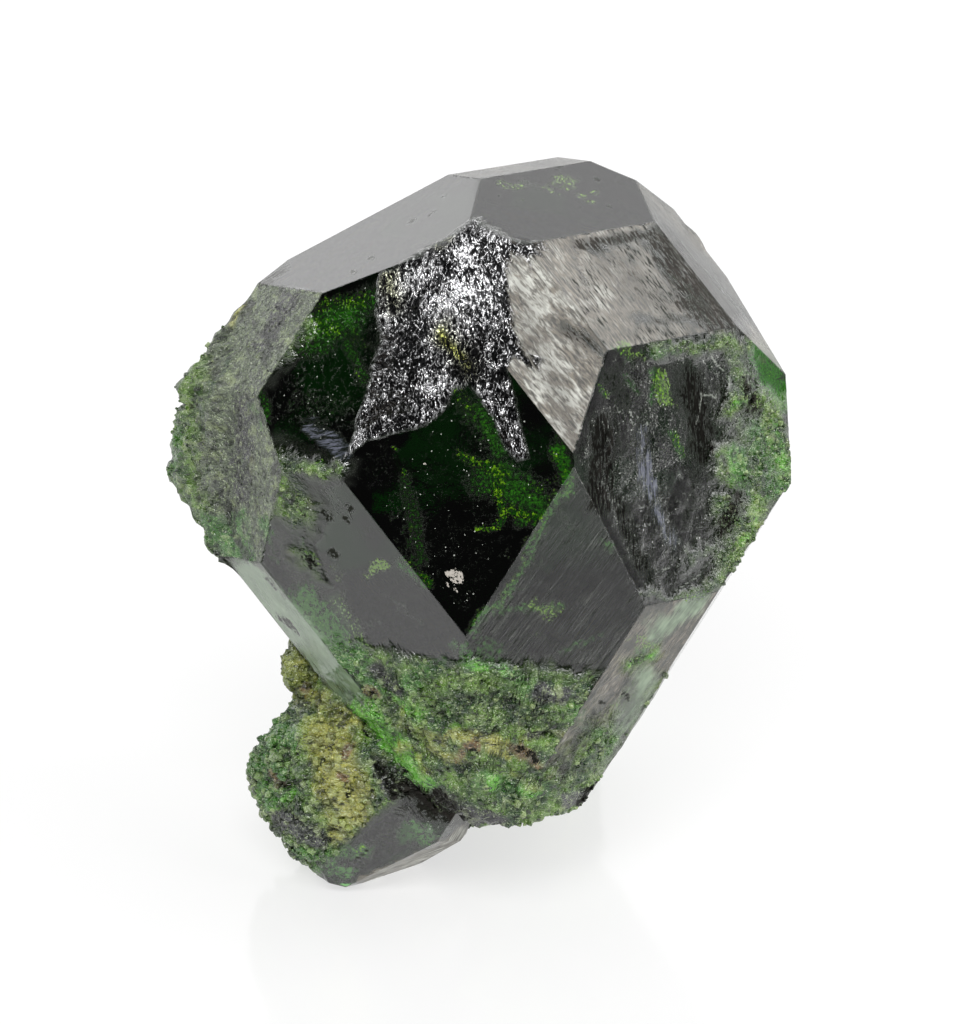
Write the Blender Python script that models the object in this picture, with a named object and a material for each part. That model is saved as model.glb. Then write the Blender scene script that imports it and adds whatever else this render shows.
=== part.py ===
"""Demantoid garnet specimen: a large garnet crystal with a smaller one and a granular crust grown
onto its foot, broken off flat underneath. Metres, +Z up, origin at the bottom centre."""

import math

import bmesh
import bpy
import numpy as np
from mathutils import Euler, Matrix, Vector

MM = 0.001
SOLID = "demantoid_garnet"

# Large crystal. Distances run from its centre to each face, in mm; its axes are turned by XYZ degrees.
MAIN_CENTRE = (0.077, -0.015, 13.4)
MAIN_TURN = (-78.8, -61.7, -106.0)
MAIN_RHOMBIC = 9.3
MAIN_TRAPEZOID = 9.3
MAIN_FACES = {
    (1, 1, 0): 8.80,
    (1, 0, 1): 9.48,
    (1, 0, -1): 9.36,
    (0, 1, -1): 9.28,
    (0, 1, 1): 9.81,
    (1, -1, 0): 9.64,
    (0, -1, 1): 10.11,
    (0, -1, -1): 6.65,
    (-1, 1, 0): 11.90,
    (1, 2, 1): 9.26,
    (2, 1, 1): 9.62,
    (1, 1, 2): 8.60,
    (1, 2, -1): 8.95,
    (2, 1, -1): 9.24,
    (2, -1, 1): 9.93,
    (1, -1, 2): 9.87,
    (2, -1, -1): 9.04,
    (1, 1, -2): 9.12,
    (1, -2, -1): 7.87,
    (1, -2, 1): 10.24,
    (-1, -1, 2): 8.65,
    (-1, 1, 2): 9.46,
    (-1, 1, -2): 8.43,
    (-1, -1, -2): 7.90,
    (1, -1, -2): 9.79,
    (-1, 2, -1): 11.76,
    (-1, 2, 1): 12.95,
    (-2, 1, 1): 10.60,
}

# Small crystal, placed from the centre of the large one.
SMALL_OFFSET = (-3.67, -4.71, -10.10)
SMALL_TURN = (-20.9, -47.6, 72.3)
SMALL_RHOMBIC = 3.60
SMALL_TRAPEZOID = 3.55
SMALL_FACES = {
    (-1, -1, 0): 3.95,
    (0, 1, 1): 4.00,
    (-2, -1, -1): 3.12,
    (-2, -1, 1): 2.93,
    (-1, -2, 1): 3.43,
    (-1, -1, -2): 3.50,
    (-2, 1, 1): 3.50,
    (-2, 1, -1): 3.35,
    (-1, 2, 1): 3.95,
}

# Broken foot under the large crystal: outward directions and distances from its own centre, in mm.
FOOT_OFFSET = (-0.9, 2.2, -8.7)
FOOT_SIDES = (
    ((1.0, -0.35, 0.0), 4.4),
    ((0.75, 0.65, 0.0), 4.6),
    ((-0.1, 1.0, -0.05), 4.3),
    ((-0.8, 0.6, 0.0), 4.6),
    ((-1.0, -0.25, 0.1), 4.4),
    ((-0.35, -1.0, 0.0), 3.6),
    ((0.45, -1.0, 0.1), 3.4),
    ((0.0, 0.0, 1.0), 4.5),
    ((0.0, 0.0, -1.0), 5.4),
)

# Masses of crust: place from the large crystal's centre and half sizes, in mm.
BANK_OFFSET, BANK_SIZE = (-3.8, -4.6, -7.6), (2.1, 2.0, 2.0)
CHIP_OFFSET, CHIP_SIZE = (-5.9, -3.9, -6.5), (0.75, 0.8, 1.2)

# Crust: where it starts on the crystals, how far the left one swells, and its lumps, in mm.
MAIN_CRUST_BELOW = 6.9
MAIN_CRUST_LEFT = 8.0
LEFT_SWELL = 0.35
SMALL_CRUST_FROM = -1.22
SMALL_CRUST_LEAN = 45.0
CRUST_FADE = 0.7
LUMP_WIDTH = 1.15
LUMP_HEIGHT = 0.42

# The face down the right of the picture stays clean of crust for this far in from it.
CLEAN_FACE = (-1, 1, 2)
CLEAN_MARGIN = 0.3

# Etched faces of the large crystal: their relief, and the flat rim left along their edges, in mm.
ETCHED_FACES = ((1, 1, 0), (1, 1, 2), (2, 1, -1))
ETCH_WIDTH = 0.95
ETCH_HEIGHT = 0.2
ETCH_RIM = 0.25

# Longest edges of the mesh on the crust, on the etched faces and on clean faces, in mm.
CRUST_MESH = 0.64
ETCH_MESH = 0.8
FOOT_MESH = 1.2
CLEAN_MESH = 30.0

# The photographed side looks up the floor at this angle, so downwards in the picture is tilted by it.
VIEW_TILT = 25.0
PICTURE_DOWN = Vector((0.0, -math.sin(math.radians(VIEW_TILT)), -math.cos(math.radians(VIEW_TILT))))


def clear_scene():
    for old in list(bpy.data.objects):
        bpy.data.objects.remove(old, do_unlink=True)


def collection(name):
    made = bpy.data.collections.new(name)
    bpy.context.scene.collection.children.link(made)
    return made


def forms(indices):
    """All faces of a cubic form: every order and sign of its three indices."""
    found = set()
    a, b, c = indices
    for order in ((a, b, c), (a, c, b), (b, a, c), (b, c, a), (c, a, b), (c, b, a)):
        for x in (1, -1):
            for y in (1, -1):
                for z in (1, -1):
                    found.add((order[0] * x, order[1] * y, order[2] * z))
    return sorted(found)


def face_distances(rhombic, trapezoid, own):
    """The garnet's twelve rhombic and twenty-four trapezoid faces, some at a distance of their own."""
    distances = {face: rhombic for face in forms((1, 1, 0))}
    distances.update({face: trapezoid for face in forms((2, 1, 1))})
    distances.update(own)
    return distances


def cut_block(planes):
    """A cube cut off along each plane, given as an outward direction and its distance in mm."""
    mesh = bmesh.new()
    bmesh.ops.create_cube(mesh, size=4 * max(distance for _, distance in planes))
    for direction, distance in planes:
        outward = Vector(direction).normalized()
        cut = bmesh.ops.bisect_plane(
            mesh,
            geom=mesh.verts[:] + mesh.edges[:] + mesh.faces[:],
            plane_co=outward * distance,
            plane_no=outward,
            clear_outer=True,
        )
        rim = [part for part in cut["geom_cut"] if isinstance(part, bmesh.types.BMEdge)]
        if rim:
            bmesh.ops.holes_fill(mesh, edges=rim)
    return mesh


def refine(mesh, longest_at):
    """Halves every edge longer than longest_at allows at its ends or middle, into triangles."""
    bmesh.ops.triangulate(mesh, faces=mesh.faces[:])
    for _ in range(9):
        edges = []
        for edge in mesh.edges:
            start, end = (vertex.co for vertex in edge.verts)
            places = np.array([start, (start + end) / 2, end])
            if edge.calc_length() > longest_at(places).min():
                edges.append(edge)
        if not edges:
            break
        bmesh.ops.subdivide_edges(mesh, edges=edges, cuts=1)
        bmesh.ops.triangulate(mesh, faces=[face for face in mesh.faces if len(face.verts) > 3])
        flat = [edge for edge in mesh.edges if edge.is_manifold and edge.calc_face_angle() < 0.001]
        bmesh.ops.beautify_fill(mesh, faces=mesh.faces[:], edges=flat)


def lattice_shift(cell, salt):
    """Three steady numbers from 0 to 1 for each lattice cell, from the fraction of a large sine."""
    turns = cell @ np.array([[12.99, 39.35, 73.16], [78.23, 11.14, 52.24], [37.72, 83.16, 9.15]])
    return np.modf(np.abs(np.sin(turns + salt)) * 4375.85)[0]


def lumps(points, width, salt):
    """Rounded grains: 1 at the middle of each jittered lattice cell, falling to 0 one width away."""
    places = points / width
    base = np.floor(places)
    nearest = np.full(len(points), 9.0)
    for step in np.ndindex(3, 3, 3):
        cell = base + np.array(step) - 1.0
        middle = cell + lattice_shift(cell, salt)
        nearest = np.minimum(nearest, np.linalg.norm(places - middle, axis=1))
    return 1.0 - np.clip(nearest, 0.0, 1.0)


def fade(value, start):
    """0 up to the start and 1 from one fade width past it."""
    return np.clip((value - start) / CRUST_FADE, 0.0, 1.0)


def axes_of(turn):
    return Euler([math.radians(angle) for angle in turn], "XYZ").to_matrix()


def turned_planes(distances, turn):
    """Face directions turned from the crystal's own axes to the specimen's."""
    axes = axes_of(turn)
    return [(axes @ Vector(face).normalized(), distance) for face, distance in distances.items()]


def crust_left(points):
    return fade(-points[:, 0], MAIN_CRUST_LEFT)


def crust_main(points):
    """How much crust lies on the large crystal: all of it below the foot line and on the far left."""
    below = fade(points @ np.array(PICTURE_DOWN), MAIN_CRUST_BELOW)
    clean = np.array(axes_of(MAIN_TURN) @ Vector(CLEAN_FACE).normalized())
    inside = MAIN_FACES[CLEAN_FACE] - points @ clean
    return np.maximum(below, crust_left(points)) * fade(inside, CLEAN_MARGIN)


def crust_small(points):
    """How much crust lies on the small crystal: its upper left in the picture, not the lower facets."""
    lean = math.radians(SMALL_CRUST_LEAN)
    up_left = -math.cos(lean) * np.array(PICTURE_DOWN) - math.sin(lean) * np.array((1.0, 0.0, 0.0))
    return fade(points @ up_left, SMALL_CRUST_FROM)


def etch_main(points):
    """How deep the etching goes: full inside the etched faces, none along their edges or on other faces."""
    distances = face_distances(MAIN_RHOMBIC, MAIN_TRAPEZOID, MAIN_FACES)
    directions = np.array([direction for direction, _ in turned_planes(distances, MAIN_TURN)])
    room = np.array(list(distances.values())) - points @ directions.T
    etched = np.array([face in ETCHED_FACES for face in distances])
    on_face = (room[:, etched].min(axis=1) < 0.001).astype(float)
    to_edge = np.sort(room, axis=1)[:, 1]
    return on_face * np.clip(to_edge / ETCH_RIM - 1.0, 0.0, 1.0)


def roughen(mesh, relief):
    """Moves every point along its outward direction by the relief there, in mm."""
    mesh.normal_update()
    points = np.array([vertex.co for vertex in mesh.verts])
    outward = np.array([vertex.normal for vertex in mesh.verts])
    moved = points + outward * relief(points)[:, None]
    for vertex, place in zip(mesh.verts, moved):
        vertex.co = place


def grains(points, offset):
    """The crust's lumps, half standing out and half sunk, steady in the large crystal's frame."""
    return (lumps(points + np.array(offset), LUMP_WIDTH, 2.0) - 0.5) * LUMP_HEIGHT


def finish(mesh, name, place):
    """Makes the object from a mesh in mm, with its place in the mesh."""
    mesh.transform(Matrix.Translation(Vector(place) * MM) @ Matrix.Scale(MM, 4))
    bmesh.ops.recalc_face_normals(mesh, faces=mesh.faces[:])
    data = bpy.data.meshes.new(name)
    mesh.to_mesh(data)
    mesh.free()
    return bpy.data.objects.new(name, data)


def from_main(offset):
    return tuple(a + b for a, b in zip(MAIN_CENTRE, offset))


def main_crystal():
    planes = turned_planes(face_distances(MAIN_RHOMBIC, MAIN_TRAPEZOID, MAIN_FACES), MAIN_TURN)
    mesh = cut_block(planes)

    def longest_at(points):
        etched = np.where(etch_main(points) > 0.0, ETCH_MESH, CLEAN_MESH)
        return np.where(crust_main(points) > 0.0, CRUST_MESH, etched)

    def relief(points):
        pits = (lumps(points, ETCH_WIDTH, 5.0) - 0.6) * ETCH_HEIGHT
        crust = grains(points, (0.0, 0.0, 0.0)) + LEFT_SWELL * crust_left(points)
        return crust * crust_main(points) + pits * etch_main(points)

    refine(mesh, longest_at)
    roughen(mesh, relief)
    return finish(mesh, SOLID, MAIN_CENTRE)


def small_crystal():
    planes = turned_planes(face_distances(SMALL_RHOMBIC, SMALL_TRAPEZOID, SMALL_FACES), SMALL_TURN)
    mesh = cut_block(planes)

    def longest_at(points):
        return np.where(crust_small(points) > 0.0, CRUST_MESH, CLEAN_MESH)

    refine(mesh, longest_at)
    roughen(mesh, lambda points: grains(points, SMALL_OFFSET) * crust_small(points))
    return finish(mesh, "small_crystal", from_main(SMALL_OFFSET))


def broken_foot():
    mesh = cut_block(FOOT_SIDES)
    refine(mesh, lambda points: np.full(len(points), FOOT_MESH))
    roughen(mesh, lambda points: 1.4 * grains(points, FOOT_OFFSET))
    return finish(mesh, "broken_foot", from_main(FOOT_OFFSET))


def crust_mass(name, offset, half_sizes):
    """A rounded mass of grains, from a ball stretched to its half sizes."""
    mesh = bmesh.new()
    bmesh.ops.create_icosphere(mesh, subdivisions=3, radius=1.0)
    bmesh.ops.scale(mesh, vec=Vector(half_sizes), verts=mesh.verts[:])
    roughen(mesh, lambda points: grains(points, offset))
    return finish(mesh, name, from_main(offset))


def floor_block():
    """What lies under the cut face: a block whose top is the level that the specimen stands on."""
    mesh = bmesh.new()
    bmesh.ops.create_cube(mesh, size=1.0)
    bmesh.ops.scale(mesh, vec=Vector((40.0, 40.0, 10.0)), verts=mesh.verts[:])
    return finish(mesh, "floor_block", (0.0, 0.0, -5.0))


def garnet_material():
    made = bpy.data.materials.new("dark_green_garnet")
    made.use_nodes = True
    shader = made.node_tree.nodes["Principled BSDF"]
    shader.inputs["Base Color"].default_value = (0.02, 0.05, 0.02, 1.0)
    shader.inputs["Roughness"].default_value = 0.15
    shader.inputs["Metallic"].default_value = 0.0
    shader.inputs["IOR"].default_value = 1.89
    return made


def join(body, other, operation):
    step = body.modifiers.new(other.name, "BOOLEAN")
    step.operation = operation
    step.solver = "EXACT"
    step.object = other


def main():
    clear_scene()
    parts = collection(SOLID)
    cutters = collection("cutters")
    body = main_crystal()
    body.data.materials.append(garnet_material())
    parts.objects.link(body)
    joined = [
        small_crystal(),
        broken_foot(),
        crust_mass("crust_bank", BANK_OFFSET, BANK_SIZE),
        crust_mass("crust_chip", CHIP_OFFSET, CHIP_SIZE),
    ]
    for other in joined:
        join(body, other, "UNION")
    joined.append(floor_block())
    join(body, joined[-1], "DIFFERENCE")
    for other in joined:
        other.hide_render = True
        other.display_type = "WIRE"
        cutters.objects.link(other)


main()
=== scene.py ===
import functools
import itertools
import math

import bpy
import numpy as np
from mathutils import Euler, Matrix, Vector


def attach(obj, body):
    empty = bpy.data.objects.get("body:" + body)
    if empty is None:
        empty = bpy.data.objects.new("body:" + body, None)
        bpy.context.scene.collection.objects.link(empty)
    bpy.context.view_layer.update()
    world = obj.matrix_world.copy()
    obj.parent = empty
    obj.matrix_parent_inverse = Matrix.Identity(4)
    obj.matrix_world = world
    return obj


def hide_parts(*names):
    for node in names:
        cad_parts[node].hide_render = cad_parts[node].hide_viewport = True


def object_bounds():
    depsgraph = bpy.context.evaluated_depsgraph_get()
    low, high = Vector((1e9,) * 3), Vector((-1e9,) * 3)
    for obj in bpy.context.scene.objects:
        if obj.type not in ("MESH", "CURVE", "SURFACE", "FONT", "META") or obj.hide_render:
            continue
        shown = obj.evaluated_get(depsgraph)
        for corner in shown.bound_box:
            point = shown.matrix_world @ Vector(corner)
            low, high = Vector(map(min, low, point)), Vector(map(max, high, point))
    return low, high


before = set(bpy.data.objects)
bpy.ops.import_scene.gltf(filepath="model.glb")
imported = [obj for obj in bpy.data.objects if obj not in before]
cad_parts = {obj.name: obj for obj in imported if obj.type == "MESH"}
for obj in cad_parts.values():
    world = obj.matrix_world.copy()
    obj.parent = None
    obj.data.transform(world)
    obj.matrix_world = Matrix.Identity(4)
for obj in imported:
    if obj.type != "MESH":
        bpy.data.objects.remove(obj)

CAD_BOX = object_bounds()
MM = 0.001
PIXEL = 0.034  # mm of the specimen for one pixel of the photograph

# The crystals' planes and places, in mm, with the values that the solid is cut from.
MAIN_CENTRE = np.array((0.077, -0.015, 13.4))
MAIN_TURN = (-78.8, -61.7, -106.0)
MAIN_SIZE = 9.3
MAIN_FACES = {
    (1, 1, 0): 8.80, (1, 0, 1): 9.48, (1, 0, -1): 9.36, (0, 1, -1): 9.28, (0, 1, 1): 9.81,
    (1, -1, 0): 9.64, (0, -1, 1): 10.11, (0, -1, -1): 6.65, (-1, 1, 0): 11.90, (1, 2, 1): 9.26,
    (2, 1, 1): 9.62, (1, 1, 2): 8.60, (1, 2, -1): 8.95, (2, 1, -1): 9.24, (2, -1, 1): 9.93,
    (1, -1, 2): 9.87, (2, -1, -1): 9.04, (1, 1, -2): 9.12, (1, -2, -1): 7.87, (1, -2, 1): 10.24,
    (-1, -1, 2): 8.65, (-1, 1, 2): 9.46, (-1, 1, -2): 8.43, (-1, -1, -2): 7.90, (1, -1, -2): 9.79,
    (-1, 2, -1): 11.76, (-1, 2, 1): 12.95, (-2, 1, 1): 10.60,
}
SMALL_OFFSET = np.array((-3.67, -4.71, -10.10))
SMALL_TURN = (-20.9, -47.6, 72.3)
SMALL_SIZE = 3.55
SMALL_FACES = {
    (-1, -1, 0): 3.95, (0, 1, 1): 4.00, (-2, -1, -1): 3.12, (-2, -1, 1): 2.93, (-1, -2, 1): 3.43,
    (-1, -1, -2): 3.50, (-2, 1, 1): 3.50, (-2, 1, -1): 3.35, (-1, 2, 1): 3.95,
}
FOOT_OFFSET = np.array((-0.9, 2.2, -8.7))
FOOT_SIDES = (
    ((1.0, -0.35, 0.0), 4.4), ((0.75, 0.65, 0.0), 4.6), ((-0.1, 1.0, -0.05), 4.3),
    ((-0.8, 0.6, 0.0), 4.6), ((-1.0, -0.25, 0.1), 4.4), ((-0.35, -1.0, 0.0), 3.6),
    ((0.45, -1.0, 0.1), 3.4), ((0.0, 0.0, 1.0), 4.5), ((0.0, 0.0, -1.0), 5.4),
)
BANK_OFFSET, BANK_SIZE = np.array((-3.8, -4.6, -7.6)), (2.1, 2.0, 2.0)
CHIP_OFFSET, CHIP_SIZE = np.array((-5.9, -3.9, -6.5)), (0.75, 0.8, 1.2)
MAIN_CRUST_BELOW = 6.9
MAIN_CRUST_LEFT = 8.0
LEFT_SWELL = 0.35
SMALL_CRUST_FROM = -1.22
CRUST_FADE = 0.7
LUMP_WIDTH, LUMP_HEIGHT = 1.15, 0.42
SHARDS = ((0.6, 0.22, 6.0), (0.33, 0.12, 9.0))  # width, height and the salt of their noise
CLEAN_FACE, CLEAN_MARGIN = (-1, 1, 2), 0.3

# The photograph's view: the camera looks down by this angle from this far, in pixels, and centres here.
VIEW_TILT = math.radians(25.0)
CAMERA_DISTANCE = 10488.0
PICTURE_MIDDLE = np.array((481.5, 512.0))
CRYSTAL_AT = np.array((480.0, 450.0))
SENSOR = 36.0
PICTURE_WIDTH = 963.0
RIGHT = np.array((1.0, 0.0, 0.0))
UP = np.array((0.0, math.sin(VIEW_TILT), math.cos(VIEW_TILT)))
TOWARDS = np.array((0.0, -math.cos(VIEW_TILT), math.sin(VIEW_TILT)))

# How far a mark's edge wanders, in the photograph's pixels: a ragged one, a frayed one with its fringe, one
# on a small piece, and the marks that have a value of their own.
RAGGED, FRAYED, FRINGED, RAGGED_SMALL = 7.0, 9.0, 5.0, 6.0
WANDERS = {"glow": 4.0, "emerald": 4.0, "smudge": 3.0, "lines": 2.5, "white": 2.0, "sheen": 0.0}


def hex_colour(code):
    """An sRGB hex colour as linear red, green, blue and alpha 1."""
    parts = [int(code[i:i + 2], 16) / 255.0 for i in (0, 2, 4)]
    return tuple(c / 12.92 if c <= 0.04045 else ((c + 0.055) / 1.055) ** 2.4 for c in parts) + (1.0,)


def lattice_shift(cell, salt):
    """Three steady numbers from 0 to 1 for each lattice cell, from the fraction of a large sine."""
    turns = cell @ np.array([[12.99, 39.35, 73.16], [78.23, 11.14, 52.24], [37.72, 83.16, 9.15]])
    return np.modf(np.abs(np.sin(turns + salt)) * 4375.85)[0]


def lumps(points, width, salt):
    """Rounded grains: 1 at the middle of each jittered lattice cell, falling to 0 one width away."""
    places = points / width
    base = np.floor(places)
    nearest = np.full(len(points), 9.0)
    for step in np.ndindex(3, 3, 3):
        cell = base + np.array(step) - 1.0
        middle = cell + lattice_shift(cell, salt)
        nearest = np.minimum(nearest, np.linalg.norm(places - middle, axis=1))
    return 1.0 - np.clip(nearest, 0.0, 1.0)


def shards(points, width, salt):
    """Broken pieces: each jittered lattice cell is a flat, tilted its own way, at its own height from about
    -0.5 to 0.5. Gives the height and a number of the cell's own from 0 to 1."""
    places = points / width
    base = np.floor(places)
    nearest = np.full(len(points), 9.0)
    height, number = np.zeros(len(points)), np.zeros(len(points))
    for step in np.ndindex(3, 3, 3):
        cell = base + np.array(step) - 1.0
        away = places - cell - lattice_shift(cell, salt)
        own = lattice_shift(cell, salt + 20.0)
        distance = np.linalg.norm(away, axis=1)
        closer = distance < nearest
        tilted = 1.2 * ((own - 0.5) * away).sum(axis=1) + 0.6 * (own[:, 0] - 0.5)
        height = np.where(closer, tilted, height)
        number = np.where(closer, own[:, 1], number)
        nearest = np.minimum(nearest, distance)
    return height, number


def mist(points, width, salt):
    """Smooth noise from -1 to 1: lattice values blended across each cell by a cubic ease."""
    places = points / width
    base = np.floor(places)
    ease = places - base
    ease = ease * ease * (3.0 - 2.0 * ease)
    total = np.zeros(len(points))
    for step in np.ndindex(2, 2, 2):
        corner = np.array(step)
        weight = np.prod(np.where(corner, ease, 1.0 - ease), axis=1)
        total += weight * lattice_shift(base + corner, salt)[:, 0]
    return 2.0 * total - 1.0


def clouds(points, width, salt, octaves=3):
    """Mist added to itself at half the width and six tenths of the height, octave by octave."""
    total, height, reach = np.zeros(len(points)), 1.0, 0.0
    for octave in range(octaves):
        total += height * mist(points, width / 2 ** octave, salt + 3.7 * octave)
        reach += height
        height *= 0.6
    return total / reach * 1.5


def drift(points, width=0.8, salt=1.0):
    """Two clouds side by side, by which places in the picture wander."""
    return np.column_stack([clouds(points, width, salt), clouds(points, width, salt + 3.0)])


def ramp(value, start, width):
    """0 up to the start and 1 from one width past it, in a straight line."""
    return np.clip((value - start) / width, 0.0, 1.0)


def ease_between(value, low, high):
    """0 below low, 1 above high, with a soft start and end."""
    part = np.clip((value - low) / (high - low), 0.0, 1.0)
    return part * part * (3.0 - 2.0 * part)


def facing(direction):
    """1 where a surface looks towards the camera, falling to 0 where it turns away."""
    return ramp(direction @ TOWARDS, 0.0, 0.08)


def in_picture(points):
    """Where points, in mm from the large crystal's centre, fall in the photograph, in its pixels."""
    across, up, near = (points @ axis / PIXEL for axis in (RIGHT, UP, TOWARDS))
    shift = CRYSTAL_AT - PICTURE_MIDDLE
    size = 1.0 / (1.0 - near / CAMERA_DISTANCE)
    return np.column_stack([
        PICTURE_MIDDLE[0] + (across + shift[0]) * size,
        PICTURE_MIDDLE[1] - (up - shift[1]) * size,
    ])


def line_distance(places, start, end):
    """Distance from places to the nearest point of a straight line that runs between two points."""
    along = end - start
    part = np.clip((places - start) @ along / max(along @ along, 1e-6), 0.0, 1.0)
    return np.linalg.norm(places - start - part[:, None] * along, axis=1)


def outline_distance(places, corners):
    """Distance in pixels to the nearest side of a closed outline, positive inside it."""
    corners = np.array(corners, dtype=float)
    nearest = np.full(len(places), 1e9)
    inside = np.zeros(len(places), dtype=bool)
    for start, end in zip(corners, np.roll(corners, -1, axis=0)):
        nearest = np.minimum(nearest, line_distance(places, start, end))
        crosses = (start[1] > places[:, 1]) != (end[1] > places[:, 1])
        across, down = end - start
        inside ^= crosses & (places[:, 0] < start[0] + across * (places[:, 1] - start[1]) / (down or 1.0))
    return np.where(inside, nearest, -nearest)


def strokes(places, marks):
    """Soft brush marks: each runs between two picture points with its width in pixels and its strength."""
    total = np.zeros(len(places))
    for x0, y0, x1, y1, width, strength in marks:
        away = line_distance(places, np.array((x0, y0)), np.array((x1, y1), dtype=float)) / width
        total = np.maximum(total, strength * np.exp(-away * away))
    return total


def forms(indices):
    """All faces of a cubic form: every order and sign of its three indices."""
    found = set()
    for order in itertools.permutations(indices):
        for signs in itertools.product((1, -1), repeat=3):
            found.add(tuple(i * s for i, s in zip(order, signs)))
    return sorted(found)


def crystal_planes(size, own, turn):
    """Names, outward directions and distances of a garnet's rhombic and trapezoid faces."""
    distances = {face: size for face in forms((1, 1, 0)) + forms((2, 1, 1))}
    distances.update(own)
    axes = np.array(Euler([math.radians(angle) for angle in turn], "XYZ").to_matrix())
    faces = list(distances)
    normals = np.array(faces, dtype=float)
    normals /= np.linalg.norm(normals, axis=1)[:, None]
    return faces, normals @ axes.T, np.array([distances[face] for face in faces])


def polygons_of(normals, distances, close=0.03):
    """Corners where three planes meet inside all the others, and each face's ring of corner numbers."""
    triples = np.array(list(itertools.combinations(range(len(normals)), 3)))
    systems = normals[triples]
    solid = np.abs(np.linalg.det(systems)) > 1e-6
    meets = np.linalg.solve(systems[solid], distances[triples[solid]][..., None])[..., 0]
    meets = meets[(meets @ normals.T <= distances + 1e-6).all(axis=1)]
    corners = []
    for meet in meets:
        if all(np.linalg.norm(meet - corner) > close for corner in corners):
            corners.append(meet)
    corners = np.array(corners)
    rings = []
    for normal, distance in zip(normals, distances):
        on = np.flatnonzero(np.abs(corners @ normal - distance) < close)
        if len(on) < 3:
            rings.append(None)
            continue
        spokes = corners[on] - corners[on].mean(axis=0)
        first = spokes[0] / np.linalg.norm(spokes[0])
        angles = np.arctan2(spokes @ np.cross(normal, first), spokes @ first)
        rings.append(on[np.argsort(angles)])
    return corners, rings


def between_rows(index):
    """The triangles between the rows of a grid whose last column joins its first."""
    turned = np.roll(index, -1, axis=1)
    return np.vstack([
        np.column_stack([index[:-1].ravel(), index[1:].ravel(), turned[1:].ravel()]),
        np.column_stack([index[:-1].ravel(), turned[1:].ravel(), turned[:-1].ravel()]),
    ])


def tiled_crystal(normals, distances, cells, worn=0.035):
    """A closed mesh of flat faces. Each face is a polar grid: rows run from its middle to its ring of
    corners, closer together outwards, by the power 0.8 of their number. The last row lies a worn edge's
    width inside, and neighbours share the points along their edge."""
    corners, rings = polygons_of(normals, distances)
    edge_cell = {}
    for ring, cell in zip(rings, cells):
        if ring is not None:
            for a, b in zip(ring, np.roll(ring, -1)):
                key = (min(a, b), max(a, b))
                edge_cell[key] = min(edge_cell.get(key, 9.0), cell)
    points, count, edges = [corners], len(corners), {}
    for (a, b), cell in edge_cell.items():
        steps = max(1, int(np.ceil(np.linalg.norm(corners[b] - corners[a]) / cell)))
        part = np.arange(1, steps)[:, None] / steps
        points.append(corners[a] + part * (corners[b] - corners[a]))
        edges[a, b] = np.arange(count, count + steps - 1)
        count += steps - 1
    triangles = []
    for ring, cell in zip(rings, cells):
        if ring is None:
            continue
        loop = []
        for a, b in zip(ring, np.roll(ring, -1)):
            loop.append([a])
            loop.append(edges[a, b] if a < b else edges[b, a][::-1])
        loop = np.concatenate(loop).astype(int)
        rim = np.concatenate(points)[loop]
        middle = rim.mean(axis=0)
        reach = np.linalg.norm(rim - middle, axis=1)
        inner = reach.min()
        steps = max(2, int(np.ceil(0.85 * reach.mean() / cell)))
        rows = np.append((np.arange(1, steps) / steps) ** 0.8, 1.0 - min(worn / inner, 0.3 / steps))
        grid = middle + rows[:, None, None] * (rim - middle)
        points.append(np.vstack([middle[None], grid.reshape(-1, 3)]))
        columns = len(loop)
        index = count + 1 + np.arange(len(rows) * columns).reshape(len(rows), columns)
        index = np.vstack([index, loop])
        fan = np.column_stack([np.full(columns, count), index[0], np.roll(index[0], -1)])
        triangles += [fan, between_rows(index)]
        count += 1 + len(rows) * columns
    return np.vstack(points), np.vstack(triangles)


def point_normals(points, triangles):
    """Each point's outward direction: the sum of the directions of its triangles, weighed by their size."""
    a, b, c = (points[triangles[:, i]] for i in range(3))
    across = np.cross(b - a, c - a)
    total = np.zeros_like(points)
    for i in range(3):
        np.add.at(total, triangles[:, i], across)
    return total / np.maximum(np.linalg.norm(total, axis=1), 1e-12)[:, None]


def inside_box(places, ease=0.1 * MM):
    """Places held inside the solid's box: past one ease from a side they close in on it by a tanh curve."""
    low, high = np.array(CAD_BOX[0]) + (ease, ease, 0.0), np.array(CAD_BOX[1]) - ease
    places = np.where(places > high, high + ease * np.tanh((places - high) / ease), places)
    squeezed = low - ease * np.tanh((low - places) / ease)
    squeezed[:, 2] = low[2]
    return np.where(places < low, squeezed, places)


def in_scene(name, data):
    """A new object of this data, linked to the scene."""
    made = bpy.data.objects.new(name, data)
    bpy.context.scene.collection.objects.link(made)
    return made


def meshed(name, points, triangles, material):
    """An object at the origin whose mesh has these points, in metres, and triangles."""
    data = bpy.data.meshes.new(name)
    data.from_pydata(points.tolist(), [], triangles.tolist())
    data.materials.append(material)
    return in_scene(name, data)


def mesh_piece(name, points, triangles, material, values, centre, smooth=True):
    """Puts points, in mm from a centre, into a mesh with the named values stored on its points."""
    piece = meshed(name, inside_box((points + centre) * MM), triangles, material)
    for label, value in values.items():
        vector = value.ndim == 2
        stored = piece.data.attributes.new(label, "FLOAT_VECTOR" if vector else "FLOAT", "POINT")
        stored.data.foreach_set("vector" if vector else "value", value.astype(np.float32).ravel())
    piece.data.polygons.foreach_set("use_smooth", np.full(len(piece.data.polygons), smooth))
    piece.data.update()
    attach(piece, "root")
    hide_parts("demantoid_garnet")
    return piece


def flattened(points):
    """Places pressed together upwards, so that what is laid out in them is wider than it is tall."""
    return points + 0.7 * (points @ UP)[:, None] * UP


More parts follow.
